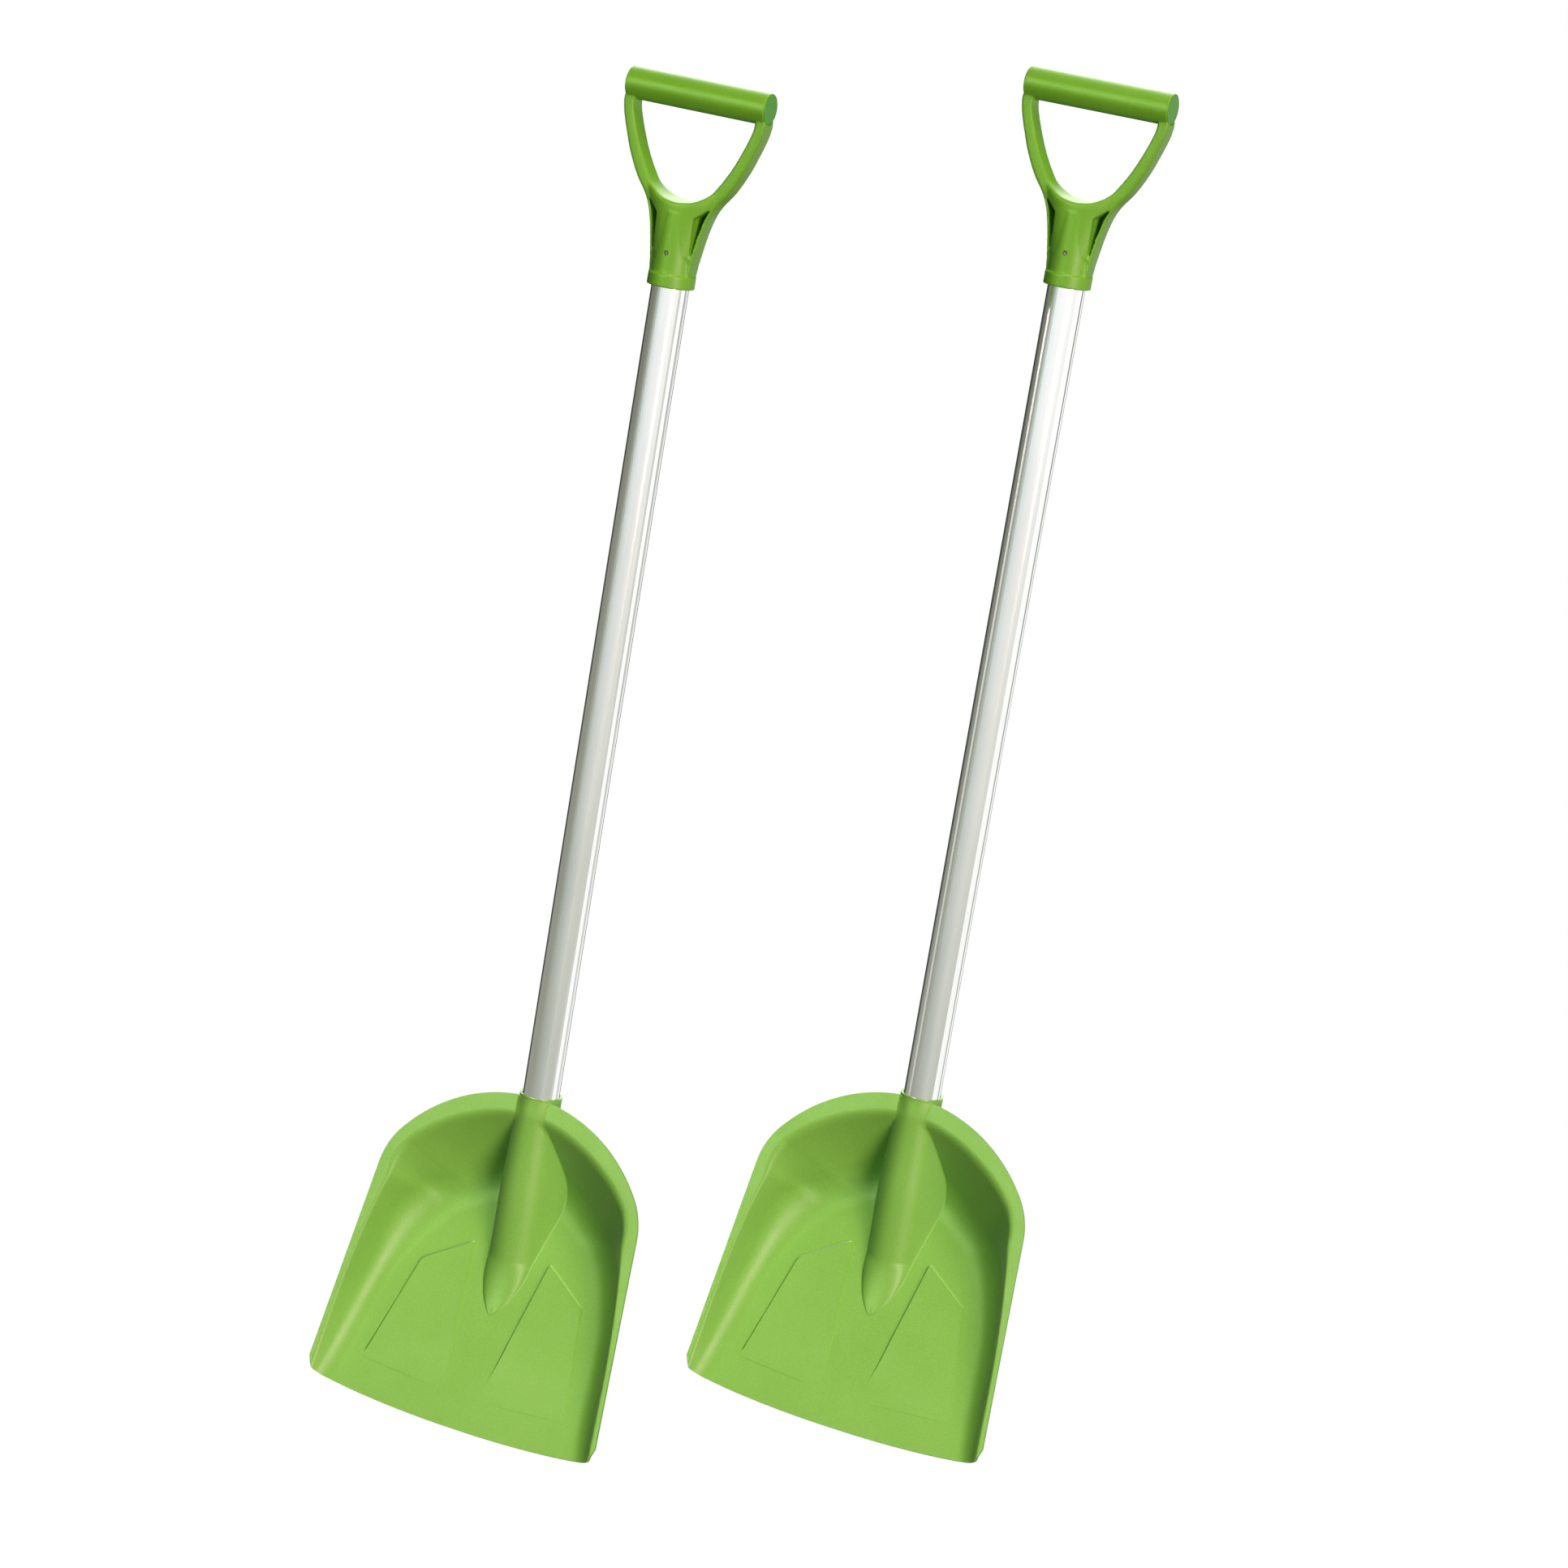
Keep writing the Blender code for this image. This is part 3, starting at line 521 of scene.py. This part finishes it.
def build_scoop(name):
    ob, tree = scoop_solid(name)
    zs = [-2.5 - 17.0 * k / 10 for k in range(10)] + [-19.5 + (Z_RIDGE_FADE + 19.5) * k / 60 for k in range(61)]
    zs += [Z_RIDGE_FADE + (Z_RIDGE_TIP - Z_RIDGE_FADE) * math.sin(math.pi / 2 * q / 30) for q in range(1, 30)]
    ridge = ridge_solid(tree, "tool_ridge", zs, 0.0, SHEET * 0.45, SHEET * 0.5)
    boss = turned("tool_boss", [(Z_BORE_END - 1.0, BOSS_R - 0.4), (-19.5, BOSS_R), (0.0, BOSS_R)], seg=96)
    boolean(ob, boss, "UNION")
    boolean(ob, ridge, "UNION")
    for side in (1, -1):
        boolean(ob, panel_solid("tool_panel", side), "UNION")
    zc = [Z_CHANNEL_TOP + (Z_RIDGE_FADE - Z_CHANNEL_TOP) * k / 4 for k in range(5)] + \
         [Z_RIDGE_FADE + (Z_CHANNEL_END - Z_RIDGE_FADE) * q for q in (0.35, 0.7, 1.0)]
    channel = ridge_solid(tree, "tool_channel", zc, SHEET, SHEET + 4.0, SHEET + 4.0)
    boolean(ob, channel, "DIFFERENCE")
    bore = turned("tool_bore", [(Z_BORE_END, TUBE_R + FIT_GAP), (5.0, TUBE_R + FIT_GAP)], seg=96)
    boolean(ob, bore, "DIFFERENCE")
    screw_hole = turned("tool_hole", [(TUBE_R - 1.0, 2.1), (BOSS_R + 2.0, 2.1)], axis="Y", centre=(0, 0, Z_SOCKET_SCREW), seg=32)
    boolean(ob, screw_hole, "DIFFERENCE")
    tidy(ob)
    ob.data.polygons.foreach_set("use_smooth", [True] * len(ob.data.polygons))
    ob.data.set_sharp_from_angle(angle=math.radians(34))
    even = ob.modifiers.new("even_normals", "WEIGHTED_NORMAL")     # large flat faces keep their own shading
    even.keep_sharp = True
    bake_modifiers(ob)
    return ob


# ---- D-grip --------------------------------------------------------------------------------
def curve_through(points, per):
    """Smooth curve through points (Catmull-Rom)."""
    p = [np.array(q, float) for q in points]
    p = [2 * p[0] - p[1]] + p + [2 * p[-1] - p[-2]]
    out = []
    for i in range(1, len(p) - 2):
        for k in range(per):
            t = k / per
            out.append(tuple(0.5 * (2 * p[i] + (p[i + 1] - p[i - 1]) * t
                             + (2 * p[i - 1] - 5 * p[i] + 4 * p[i + 1] - p[i + 2]) * t * t
                             + (3 * p[i] - p[i - 1] - 3 * p[i + 1] + p[i + 2]) * t ** 3)))
    out.append(tuple(p[-2]))
    return out


def soften(ob, voxel, rounds):
    """Melts the joins of a moulding together: even remesh, then relaxed, so that every edge gets a small radius."""
    rm = ob.modifiers.new("even", "REMESH")
    rm.mode = "VOXEL"
    rm.voxel_size = voxel * MM
    rm.adaptivity = 0.0
    sm = ob.modifiers.new("relax", "SMOOTH")
    sm.factor = 0.5
    sm.iterations = rounds
    bake_modifiers(ob)


def outer_x(z):
    """Half-width of the grip's outer edge at a height."""
    pts = sorted((q[1], q[0]) for q in OUTER_EDGE)
    return float(np.interp(z, [q[0] for q in pts], [q[1] for q in pts]))


def saddle_solid(name, z_list, seg):
    """The arms grow deeper towards the socket: oval slices as wide as the outer edge, with the hand opening cut out."""
    rings = []
    for z in z_list:
        a = outer_x(z) - 0.35
        b = ARM_HALF_DEPTH + (SADDLE_HALF_DEPTH - ARM_HALF_DEPTH) * smooth((Z_SADDLE_TOP - z) / (Z_SADDLE_TOP - Z_SADDLE_FULL))
        rings.append([(a * math.cos(t), b * math.sin(t), z) for t in (2 * math.pi * (k + 0.5) / seg for k in range(seg))])
    ob = loft(name, rings)
    inner = curve_through(INNER_EDGE, 6)
    low = [(x, z) for x, z in inner if z < Z_SADDLE_TOP + 12.0]
    outline = [(-x, z) for x, z in low] + [(x, z) for x, z in reversed(low[:-1])]
    return boolean(ob, prism("tool_hand_opening", outline, -30.0, 30.0), "DIFFERENCE")


def build_grip(name):
    outer = curve_through(OUTER_EDGE, 6)
    inner = curve_through(INNER_EDGE, 6)
    right = [(x, z) for x, z in outer]
    outline = right + [(-x, z) for x, z in reversed(right)]
    outline += [(-x, z) for x, z in inner] + [(x, z) for x, z in reversed(inner[:-1])]
    ob = prism(name, outline, -ARM_HALF_DEPTH - 0.8, ARM_HALF_DEPTH + 0.8)
    boolean(ob, saddle_solid("tool_saddle", [738.0 + (Z_SADDLE_TOP - 738.0) * k / 30 for k in range(31)], 96), "UNION")
    soften(ob, 0.9, 26)
    for side in (1, -1):
        win = [(side * x, z) for x, z in WINDOW]
        boolean(ob, prism("tool_window", win, -20.0, WEB_Y), "DIFFERENCE")
        boolean(ob, prism("tool_window_back", win, WEB_Y + 2.0, 20.0), "DIFFERENCE")
    body = turned("tool_body", [(Z_COLLAR, RING_R), (Z_RING_TOP - 0.6, RING_R), (Z_RING_TOP, RING_R - 0.6), (Z_RING_TOP + 0.005, RING_R - 0.7),
                                (Z_RING_TOP + 0.01, BODY_R_LOW), (Z_BODY_TOP - 6.0, BODY_R_TOP)], seg=96)
    boolean(ob, body, "UNION")
    end = BAR_HALF - CAP_FLANGE - FIT_GAP
    bar = turned("tool_bar", [(FIT_GAP - BAR_HALF, BAR_R), (BAR_HALF - FIT_GAP, BAR_R)], axis="X", centre=(0, 0, Z_BAR), seg=96)
    boolean(ob, bar, "UNION")
    soften(ob, 0.7, 4)
    for side in (1, -1):
        seat = turned("tool_cap_seat", [(side * end, CAP_FLANGE_R + FIT_GAP), (side * (BAR_HALF + 6.0), CAP_FLANGE_R + FIT_GAP)], axis="X", centre=(0, 0, Z_BAR), seg=96)
        boolean(ob, seat, "DIFFERENCE")
    hollow = turned("tool_hollow", [(-BAR_HALF - 4, BAR_BORE_R), (BAR_HALF + 4, BAR_BORE_R)], axis="X", centre=(0, 0, Z_BAR), seg=96)
    boolean(ob, hollow, "DIFFERENCE")
    bore = turned("tool_bore", [(Z_COLLAR - 5, TUBE_R + FIT_GAP), (Z_GRIP_BORE_TOP, TUBE_R + FIT_GAP)], seg=96)
    boolean(ob, bore, "DIFFERENCE")
    hole = turned("tool_hole", [(-BODY_R_LOW - 3.0, 2.1), (-TUBE_R + 1.0, 2.1)], axis="Y", centre=(0, 0, Z_GRIP_SCREW), seg=32)
    boolean(ob, hole, "DIFFERENCE")
    tidy(ob)
    return ob


def shade(ob, degrees=48):
    ob.data.polygons.foreach_set("use_smooth", [True] * len(ob.data.polygons))
    ob.data.set_sharp_from_angle(angle=math.radians(degrees))


# ---- materials -----------------------------------------------------------------------------
class Nodes:
    """Small helper for building a node material."""

    def __init__(self, name):
        self.mat = bpy.data.materials.new(name)
        self.mat.use_nodes = True
        self.tree = self.mat.node_tree
        self.bsdf = self.tree.nodes.get("Principled BSDF")

    def add(self, kind, **props):
        n = self.tree.nodes.new(kind)
        for k, v in props.items():
            if k in n.inputs:
                n.inputs[k].default_value = v
            else:
                setattr(n, k, v)
        return n

    def link(self, a, b):
        self.tree.links.new(a, b)


def coords(nt, scale=(1, 1, 1)):
    tc = nt.add("ShaderNodeTexCoord")
    mp = nt.add("ShaderNodeMapping")
    mp.inputs["Scale"].default_value = scale
    nt.link(tc.outputs["Object"], mp.inputs["Vector"])
    return mp.outputs["Vector"]


def noise(nt, vec, scale, detail=3.0, rough=0.55):
    n = nt.add("ShaderNodeTexNoise")
    n.inputs["Scale"].default_value = scale
    n.inputs["Detail"].default_value = detail
    n.inputs["Roughness"].default_value = rough
    nt.link(vec, n.inputs["Vector"])
    return n.outputs["Fac"]


def ramp(nt, fac, stops):
    r = nt.add("ShaderNodeValToRGB")
    els = r.color_ramp.elements
    while len(els) > 1:
        els.remove(els[0])
    els[0].position, els[0].color = stops[0][0], (*stops[0][1], 1.0)
    for p, c in stops[1:]:
        e = els.new(p)
        e.color = (*c, 1.0)
    nt.link(fac, r.inputs["Fac"])
    return r.outputs["Color"]


def plastic(name, base, light, deep, rough=(0.36, 0.5), grain=1700.0, bump=0.12):
    """Satin moulded polypropylene: slight cloudiness in the colour, spark-eroded grain, faint scuffs."""
    nt = Nodes(name)
    vec = coords(nt)
    cloud = noise(nt, vec, 14.0, 4.0, 0.6)
    col = ramp(nt, cloud, [(0.25, deep), (0.5, base), (0.78, light)])
    speck = noise(nt, vec, 900.0, 2.0, 0.5)
    sp = ramp(nt, speck, [(0.3, (0.93, 0.93, 0.93)), (0.7, (1.06, 1.06, 1.06))])
    mix = nt.add("ShaderNodeMix", data_type="RGBA", blend_type="MULTIPLY")
    mix.inputs[0].default_value = 1.0
    nt.link(col, mix.inputs[6])
    nt.link(sp, mix.inputs[7])
    nt.link(mix.outputs[2], nt.bsdf.inputs["Base Color"])
    rr = nt.add("ShaderNodeMapRange")
    rr.inputs["To Min"].default_value = rough[0]
    rr.inputs["To Max"].default_value = rough[1]
    nt.link(noise(nt, vec, 60.0, 5.0, 0.65), rr.inputs["Value"])
    nt.link(rr.outputs["Result"], nt.bsdf.inputs["Roughness"])
    b1 = nt.add("ShaderNodeBump")
    b1.inputs["Strength"].default_value = bump
    b1.inputs["Distance"].default_value = 0.0002
    nt.link(noise(nt, vec, grain, 3.0, 0.6), b1.inputs["Height"])
    b2 = nt.add("ShaderNodeBump")
    b2.inputs["Strength"].default_value = 0.05
    b2.inputs["Distance"].default_value = 0.002
    nt.link(noise(nt, vec, 22.0, 2.0, 0.5), b2.inputs["Height"])
    nt.link(b1.outputs["Normal"], b2.inputs["Normal"])
    nt.link(b2.outputs["Normal"], nt.bsdf.inputs["Normal"])
    nt.bsdf.inputs["IOR"].default_value = 1.49
    return nt.mat


def aluminium(name):
    """Drawn tube: bright, with very fine lines along its length and faint handling haze."""
    nt = Nodes(name)
    line = noise(nt, coords(nt, (1.0, 1.0, 0.012)), 2600.0, 3.0, 0.6)
    haze = noise(nt, coords(nt, (1.0, 1.0, 0.15)), 45.0, 4.0, 0.6)
    nt.link(ramp(nt, haze, [(0.25, (0.80, 0.81, 0.80)), (0.75, (0.91, 0.915, 0.91))]), nt.bsdf.inputs["Base Color"])
    nt.bsdf.inputs["Metallic"].default_value = 1.0
    rr = nt.add("ShaderNodeMapRange")
    rr.inputs["To Min"].default_value = 0.07
    rr.inputs["To Max"].default_value = 0.13
    nt.link(line, rr.inputs["Value"])
    nt.link(rr.outputs["Result"], nt.bsdf.inputs["Roughness"])
    bp = nt.add("ShaderNodeBump")
    bp.inputs["Strength"].default_value = 0.02
    bp.inputs["Distance"].default_value = 0.0001
    nt.link(line, bp.inputs["Height"])
    nt.link(bp.outputs["Normal"], nt.bsdf.inputs["Normal"])
    return nt.mat


def dark_steel(name):
    nt = Nodes(name)
    vec = coords(nt)
    nt.link(ramp(nt, noise(nt, vec, 700.0, 4.0), [(0.3, (0.06, 0.07, 0.05)), (0.7, (0.16, 0.17, 0.14))]), nt.bsdf.inputs["Base Color"])
    nt.bsdf.inputs["Metallic"].default_value = 1.0
    rr = nt.add("ShaderNodeMapRange")
    rr.inputs["To Min"].default_value = 0.3
    rr.inputs["To Max"].default_value = 0.55
    nt.link(noise(nt, vec, 1500.0, 3.0), rr.inputs["Value"])
    nt.link(rr.outputs["Result"], nt.bsdf.inputs["Roughness"])
    return nt.mat


def floor_material(name):
    """Pale paper sweep, burnt out to white where the camera looks at it; it bounces little light back up."""
    nt = Nodes(name)
    vec = coords(nt)
    nt.link(ramp(nt, noise(nt, vec, 3.0, 3.0), [(0.3, (0.16, 0.16, 0.155)), (0.7, (0.19, 0.19, 0.185))]), nt.bsdf.inputs["Base Color"])
    nt.bsdf.inputs["Roughness"].default_value = 0.85
    nt.bsdf.inputs["Specular IOR Level"].default_value = 0.2
    glow = nt.add("ShaderNodeEmission")
    glow.inputs["Strength"].default_value = 1.0
    lp = nt.add("ShaderNodeLightPath")
    fade = nt.add("ShaderNodeMath", operation="MULTIPLY")
    fade.inputs[1].default_value = 1.0
    nt.link(lp.outputs["Is Camera Ray"], fade.inputs[0])
    both = nt.add("ShaderNodeMixShader")
    nt.link(fade.outputs["Value"], both.inputs["Fac"])
    nt.link(nt.bsdf.outputs["BSDF"], both.inputs[1])
    nt.link(glow.outputs["Emission"], both.inputs[2])
    out = nt.tree.nodes.get("Material Output")
    nt.link(both.outputs["Shader"], out.inputs["Surface"])
    return nt.mat


# ---- light, floor and camera ---------------------------------------------------------------
CAM_F, CAM_AZ, CAM_EL, CAM_ROLL = 5722.8, 23.16, 12.78, 9.62      # focal length in px of a 1932 px frame; degrees
CAM_DIST, CAM_RIGHT, CAM_UP = 4038.5, 45.5, 269.6                 # mm, from the point between the two sockets
FRAME_PX = 1932.0
FLOOR_Z = -0.45


def camera_axes():
    a, e, r = (math.radians(v) for v in (CAM_AZ, CAM_EL, CAM_ROLL))
    back = Vector((math.sin(a) * math.cos(e), -math.cos(a) * math.cos(e), math.sin(e)))
    side = Vector((math.cos(a), math.sin(a), 0.0))
    top = back.cross(side)
    right = side * math.cos(r) + top * math.sin(r)
    up = -side * math.sin(r) + top * math.cos(r)
    return right, up, back


def build_camera():
    right, up, back = camera_axes()
    mid = Vector((0.0, Y_SHIFT, -Z_TIP + PITCH_Z / 2)) * MM
    pos = mid + (back * CAM_DIST + right * CAM_RIGHT + up * CAM_UP) * MM
    cam = bpy.data.cameras.new("camera")
    cam.sensor_fit = "AUTO"
    cam.sensor_width = 36.0
    cam.lens = CAM_F / FRAME_PX * 36.0
    cam.clip_end = 200.0
    ob = bpy.data.objects.new("camera", cam)
    bpy.context.scene.collection.objects.link(ob)
    m = Matrix((right, up, back)).transposed().to_4x4()
    m.translation = pos
    ob.matrix_world = m
    bpy.context.scene.camera = ob
    return ob


def direction(az, el):
    """Unit vector towards azimuth az (0 is the front, -Y; +90 is the right, +X) and elevation el, in degrees."""
    a, e = math.radians(az), math.radians(el)
    return Vector((math.sin(a) * math.cos(e), -math.cos(a) * math.cos(e), math.sin(e)))


def build_world(boxes, fill, bands=1.0):
    """Studio surroundings. Reflections show a low band, dark on the left and white on the right, and soft boxes
    given as (azimuth, elevation, half-width in degrees, colour times strength); everything else gets an even fill."""
    world = bpy.data.worlds.new("studio")
    bpy.context.scene.world = world
    world.use_nodes = True
    world.cycles.sampling_method = "NONE"
    tree = world.node_tree
    tree.nodes.clear()

    def add(kind, operation=None):
        n = tree.nodes.new(kind)
        if operation:
            n.operation = operation
        return n

    def link(a, b):
        tree.links.new(a, b)

    tc = add("ShaderNodeTexCoord")

    def dot(v):
        n = add("ShaderNodeVectorMath", "DOT_PRODUCT")
        n.inputs[1].default_value = v
        link(tc.outputs["Generated"], n.inputs[0])
        return n.outputs["Value"]

    def remap(fac, lo, hi, smooth_step=False):
        m = add("ShaderNodeMapRange")
        if smooth_step:
            m.interpolation_type = "SMOOTHSTEP"
        m.inputs["From Min"].default_value = lo
        m.inputs["From Max"].default_value = hi
        link(fac, m.inputs["Value"])
        return m.outputs["Result"]

    def to_ramp(fac, stops):
        r = add("ShaderNodeValToRGB")
        els = r.color_ramp.elements
        while len(els) > 1:
            els.remove(els[0])
        els[0].position, els[0].color = stops[0][0], (*stops[0][1], 1.0)
        for p, c in stops[1:]:
            e = els.new(p)
            e.color = (*c, 1.0)
        link(fac, r.inputs["Fac"])
        return r.outputs["Color"]

    def mix(kind, a, b):
        m = add("ShaderNodeMix")
        m.data_type = "RGBA"
        m.blend_type = kind
        m.inputs[0].default_value = 1.0
        link(a, m.inputs[6])
        link(b, m.inputs[7])
        return m.outputs[2]

    # turn around the vertical, measured from the front-right, so that the bands run straight up
    xyz = add("ShaderNodeSeparateXYZ")
    link(tc.outputs["Generated"], xyz.inputs["Vector"])
    back = add("ShaderNodeMath", "MULTIPLY")
    back.inputs[1].default_value = -1.0
    link(xyz.outputs["Y"], back.inputs[0])
    turn = add("ShaderNodeMath", "ARCTAN2")
    link(xyz.outputs["X"], turn.inputs[0])
    link(back.outputs["Value"], turn.inputs[1])
    turned_by = add("ShaderNodeMath", "ADD")
    turned_by.inputs[1].default_value = math.pi - math.radians(BAND_FRONT)
    link(turn.outputs["Value"], turned_by.inputs[0])
    share = add("ShaderNodeMath", "DIVIDE")
    share.inputs[1].default_value = 2 * math.pi
    link(turned_by.outputs["Value"], share.inputs[0])
    wrap = add("ShaderNodeMath", "FRACT")
    link(share.outputs["Value"], wrap.inputs[0])
    level = to_ramp(wrap.outputs["Value"], BAND_LEVEL)
    below = to_ramp(wrap.outputs["Value"], BAND_BELOW)
    total = mix("MIX", below, level)
    link(remap(xyz.outputs["Z"], -0.29, -0.08), total.node.inputs[0])
    height = to_ramp(remap(xyz.outputs["Z"], -1.0, 1.0), BAND_HEIGHT)
    total = mix("MULTIPLY", total, height)
    gain = add("ShaderNodeRGB")
    gain.outputs[0].default_value = (bands, bands, bands, 1.0)
    total = mix("MULTIPLY", total, gain.outputs[0])
    for az, el, wide, colour in boxes:
        if wide >= 180.0:
            c = add("ShaderNodeRGB")
            c.outputs[0].default_value = (*colour, 1.0)
            total = mix("ADD", total, c.outputs[0])
            continue
        w = remap(dot(direction(az, el)), math.cos(math.radians(min(wide * 1.35, 179.0))), math.cos(math.radians(wide * 0.35)), True)
        c = add("ShaderNodeVectorMath", "SCALE")
        c.inputs[0].default_value = colour
        link(w, c.inputs["Scale"])
        total = mix("ADD", total, c.outputs["Vector"])
    lp = add("ShaderNodeLightPath")
    shown = add("ShaderNodeBackground")
    link(total, shown.inputs["Color"])
    even = add("ShaderNodeBackground")
    even.inputs["Color"].default_value = (*fill, 1.0)
    lit = add("ShaderNodeMixShader")
    link(lp.outputs["Is Glossy Ray"], lit.inputs["Fac"])
    link(even.outputs["Background"], lit.inputs[1])
    link(shown.outputs["Background"], lit.inputs[2])
    seen = add("ShaderNodeBackground")
    seen.inputs["Color"].default_value = (1.0, 1.0, 1.0, 1.0)
    both = add("ShaderNodeMixShader")
    link(lp.outputs["Is Camera Ray"], both.inputs["Fac"])
    link(lit.outputs["Shader"], both.inputs[1])
    link(seen.outputs["Background"], both.inputs[2])
    out = add("ShaderNodeOutputWorld")
    link(both.outputs["Shader"], out.inputs["Surface"])


# bands that the tubes mirror, as share of a full turn from behind the left to behind the right of BAND_FRONT:
# BAND_LEVEL at the horizon, BAND_BELOW some 17 degrees under it
BAND_FRONT = 23.2
BAND_LEVEL = ((0.0, (0.01, 0.03, 0.015)), (0.11, (0.04, 0.055, 0.04)), (0.155, (0.18, 0.185, 0.145)), (0.20, (0.18, 0.185, 0.145)), (0.27, (0.235, 0.245, 0.19)), (0.33, (0.60, 0.65, 0.59)),
              (0.38, (1.02, 1.1, 1.12)), (0.45, (1.2, 1.2, 1.2)), (0.53, (1.2, 1.2, 1.2)), (0.565, (1.05, 1.05, 1.0)), (0.615, (1.2, 1.2, 1.17)),
              (0.672, (1.2, 1.2, 1.2)), (0.682, (0.52, 0.51, 0.42)), (0.696, (0.52, 0.51, 0.42)), (0.704, (1.2, 1.2, 1.2)),
              (0.81, (1.2, 1.2, 1.2)), (0.826, (0.22, 0.225, 0.19)), (0.856, (0.22, 0.225, 0.19)), (0.875, (1.2, 1.2, 1.2)),
              (0.91, (1.1, 1.1, 1.1)), (0.95, (0.06, 0.08, 0.06)), (1.0, (0.01, 0.03, 0.015)))
BAND_BELOW = ((0.0, (0.01, 0.03, 0.015)), (0.11, (0.05, 0.065, 0.05)), (0.155, (0.37, 0.38, 0.32)), (0.20, (0.37, 0.38, 0.32)), (0.27, (0.355, 0.365, 0.30)), (0.395, (0.42, 0.44, 0.38)), (0.48, (0.50, 0.53, 0.46)),
              (0.53, (0.60, 0.62, 0.55)), (0.615, (0.56, 0.58, 0.50)), (0.672, (0.58, 0.59, 0.51)), (0.682, (0.47, 0.47, 0.38)), (0.696, (0.47, 0.47, 0.38)),
              (0.704, (1.15, 1.15, 1.13)), (0.78, (1.15, 1.15, 1.13)), (0.81, (1.0, 1.02, 0.97)), (0.83, (0.55, 0.56, 0.52)), (0.855, (0.55, 0.56, 0.52)), (0.875, (1.2, 1.2, 1.2)),
              (0.91, (1.1, 1.1, 1.1)), (0.95, (0.06, 0.08, 0.06)), (1.0, (0.01, 0.03, 0.015)))
BAND_HEIGHT = ((0.0, (0.0, 0.0, 0.0)), (0.22, (0.15, 0.15, 0.15)), (0.34, (1.0, 1.0, 1.0)), (0.50, (1.0, 1.0, 1.0)), (0.58, (0.25, 0.25, 0.25)), (0.66, (0.0, 0.0, 0.0)))
SOFT_BOXES = ((-23, 14, 14, (10.5, 10.0, 8.5)), (180, 62, 28, (3.6, 3.6, 2.6)))
FILL = (0.012, 0.07, 0.035)
# studio lamps far away: (name, azimuth, elevation, spread in degrees, strength, colour)
LAMPS = (
    ("key", 50, 7, 28, 2.68, (1.0, 0.72, 0.66)),
    ("front", 14, 14, 36, 0.15, (1.0, 1.0, 0.95)),
    ("top", 15, 70, 26, 1.85, (1.0, 0.78, 0.66)),
    ("back", 205, 24, 40, 1.5, (1.0, 0.97, 0.92)),
)


def build_lamps(lamps):
    out = []
    for name, az, el, spread, strength, colour in lamps:
        sun = bpy.data.lights.new(name, "SUN")
        sun.energy = strength
        sun.angle = math.radians(spread)
        sun.color = colour
        ob = bpy.data.objects.new(name, sun)
        ob.rotation_euler = direction(az, el).to_track_quat("Z", "Y").to_euler()
        bpy.context.scene.collection.objects.link(ob)
        out.append(ob)
    return out


def build_floor():
    bm = bmesh.new()
    bmesh.ops.create_circle(bm, cap_ends=True, radius=2.0, segments=128)
    me = bpy.data.meshes.new("floor")
    bm.to_mesh(me)
    bm.free()
    ob = bpy.data.objects.new("floor", me)
    ob.location = (0, 0, FLOOR_Z)
    bpy.context.scene.collection.objects.link(ob)
    ob.data.materials.append(floor_material("floor_paper"))


# ---- putting it together -------------------------------------------------------------------
def main():
    sc = bpy.context.scene
    sc.view_settings.view_transform = "Standard"
    sc.view_settings.look = "None"
    build_camera()
    build_world(SOFT_BOXES, FILL)
    build_lamps(LAMPS)
    build_floor()

    scoop_green = plastic("scoop_green_pp", (0.200, 0.495, 0.070), (0.214, 0.515, 0.078), (0.186, 0.475, 0.063))
    grip_green = plastic("grip_green_pp", (0.160, 0.455, 0.022), (0.173, 0.475, 0.027), (0.148, 0.435, 0.018), bump=0.03)
    plug_green = plastic("grip_plug_green_pp", (0.070, 0.385, 0.008), (0.080, 0.405, 0.010), (0.062, 0.365, 0.006))
    tube_mat = aluminium("tube_drawn_aluminium")
    screw_mat = dark_steel("screw_dark_steel")

    scoop = build_scoop("scoop_shape")
    grip = build_grip("grip_shape")
    for ob, mat in ((scoop, scoop_green), (grip, grip_green)):
        ob.data.materials.clear()
        ob.data.materials.append(mat)
    shade(grip)
    for tag, half in (("shovel_a", -0.5), ("shovel_b", 0.5)):
        shift = Vector((half * PITCH_X, half * PITCH_Y + Y_SHIFT, -Z_TIP + (PITCH_Z if half > 0 else 0.0))) * MM
        for src, part, slot in ((scoop, "scoop", "scoop_green"), (grip, "d_grip", "grip_green")):
            me = src.data.copy()
            me.transform(Matrix.Translation(shift))
            ob = bpy.data.objects.new(tag + "_" + part + "_fine", me)
            sc.collection.objects.link(ob)
            ob.visible_glossy = part != "scoop"      # keeps the neighbour's green out of the polished tubes
            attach(ob, tag)
            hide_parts(tag + "_" + part)
        for node, mat in (("shaft_tube", tube_mat), ("grip_plug_left", plug_green), ("grip_plug_right", plug_green),
                          ("grip_screw", screw_mat), ("socket_screw", screw_mat)):
            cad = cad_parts[tag + "_" + node]
            if cad.material_slots:
                for slot in cad.material_slots:
                    slot.link = "OBJECT"
                    slot.material = mat
            else:
                cad.data.materials.append(mat)
    bpy.data.objects.remove(scoop, do_unlink=True)
    bpy.data.objects.remove(grip, do_unlink=True)


main()
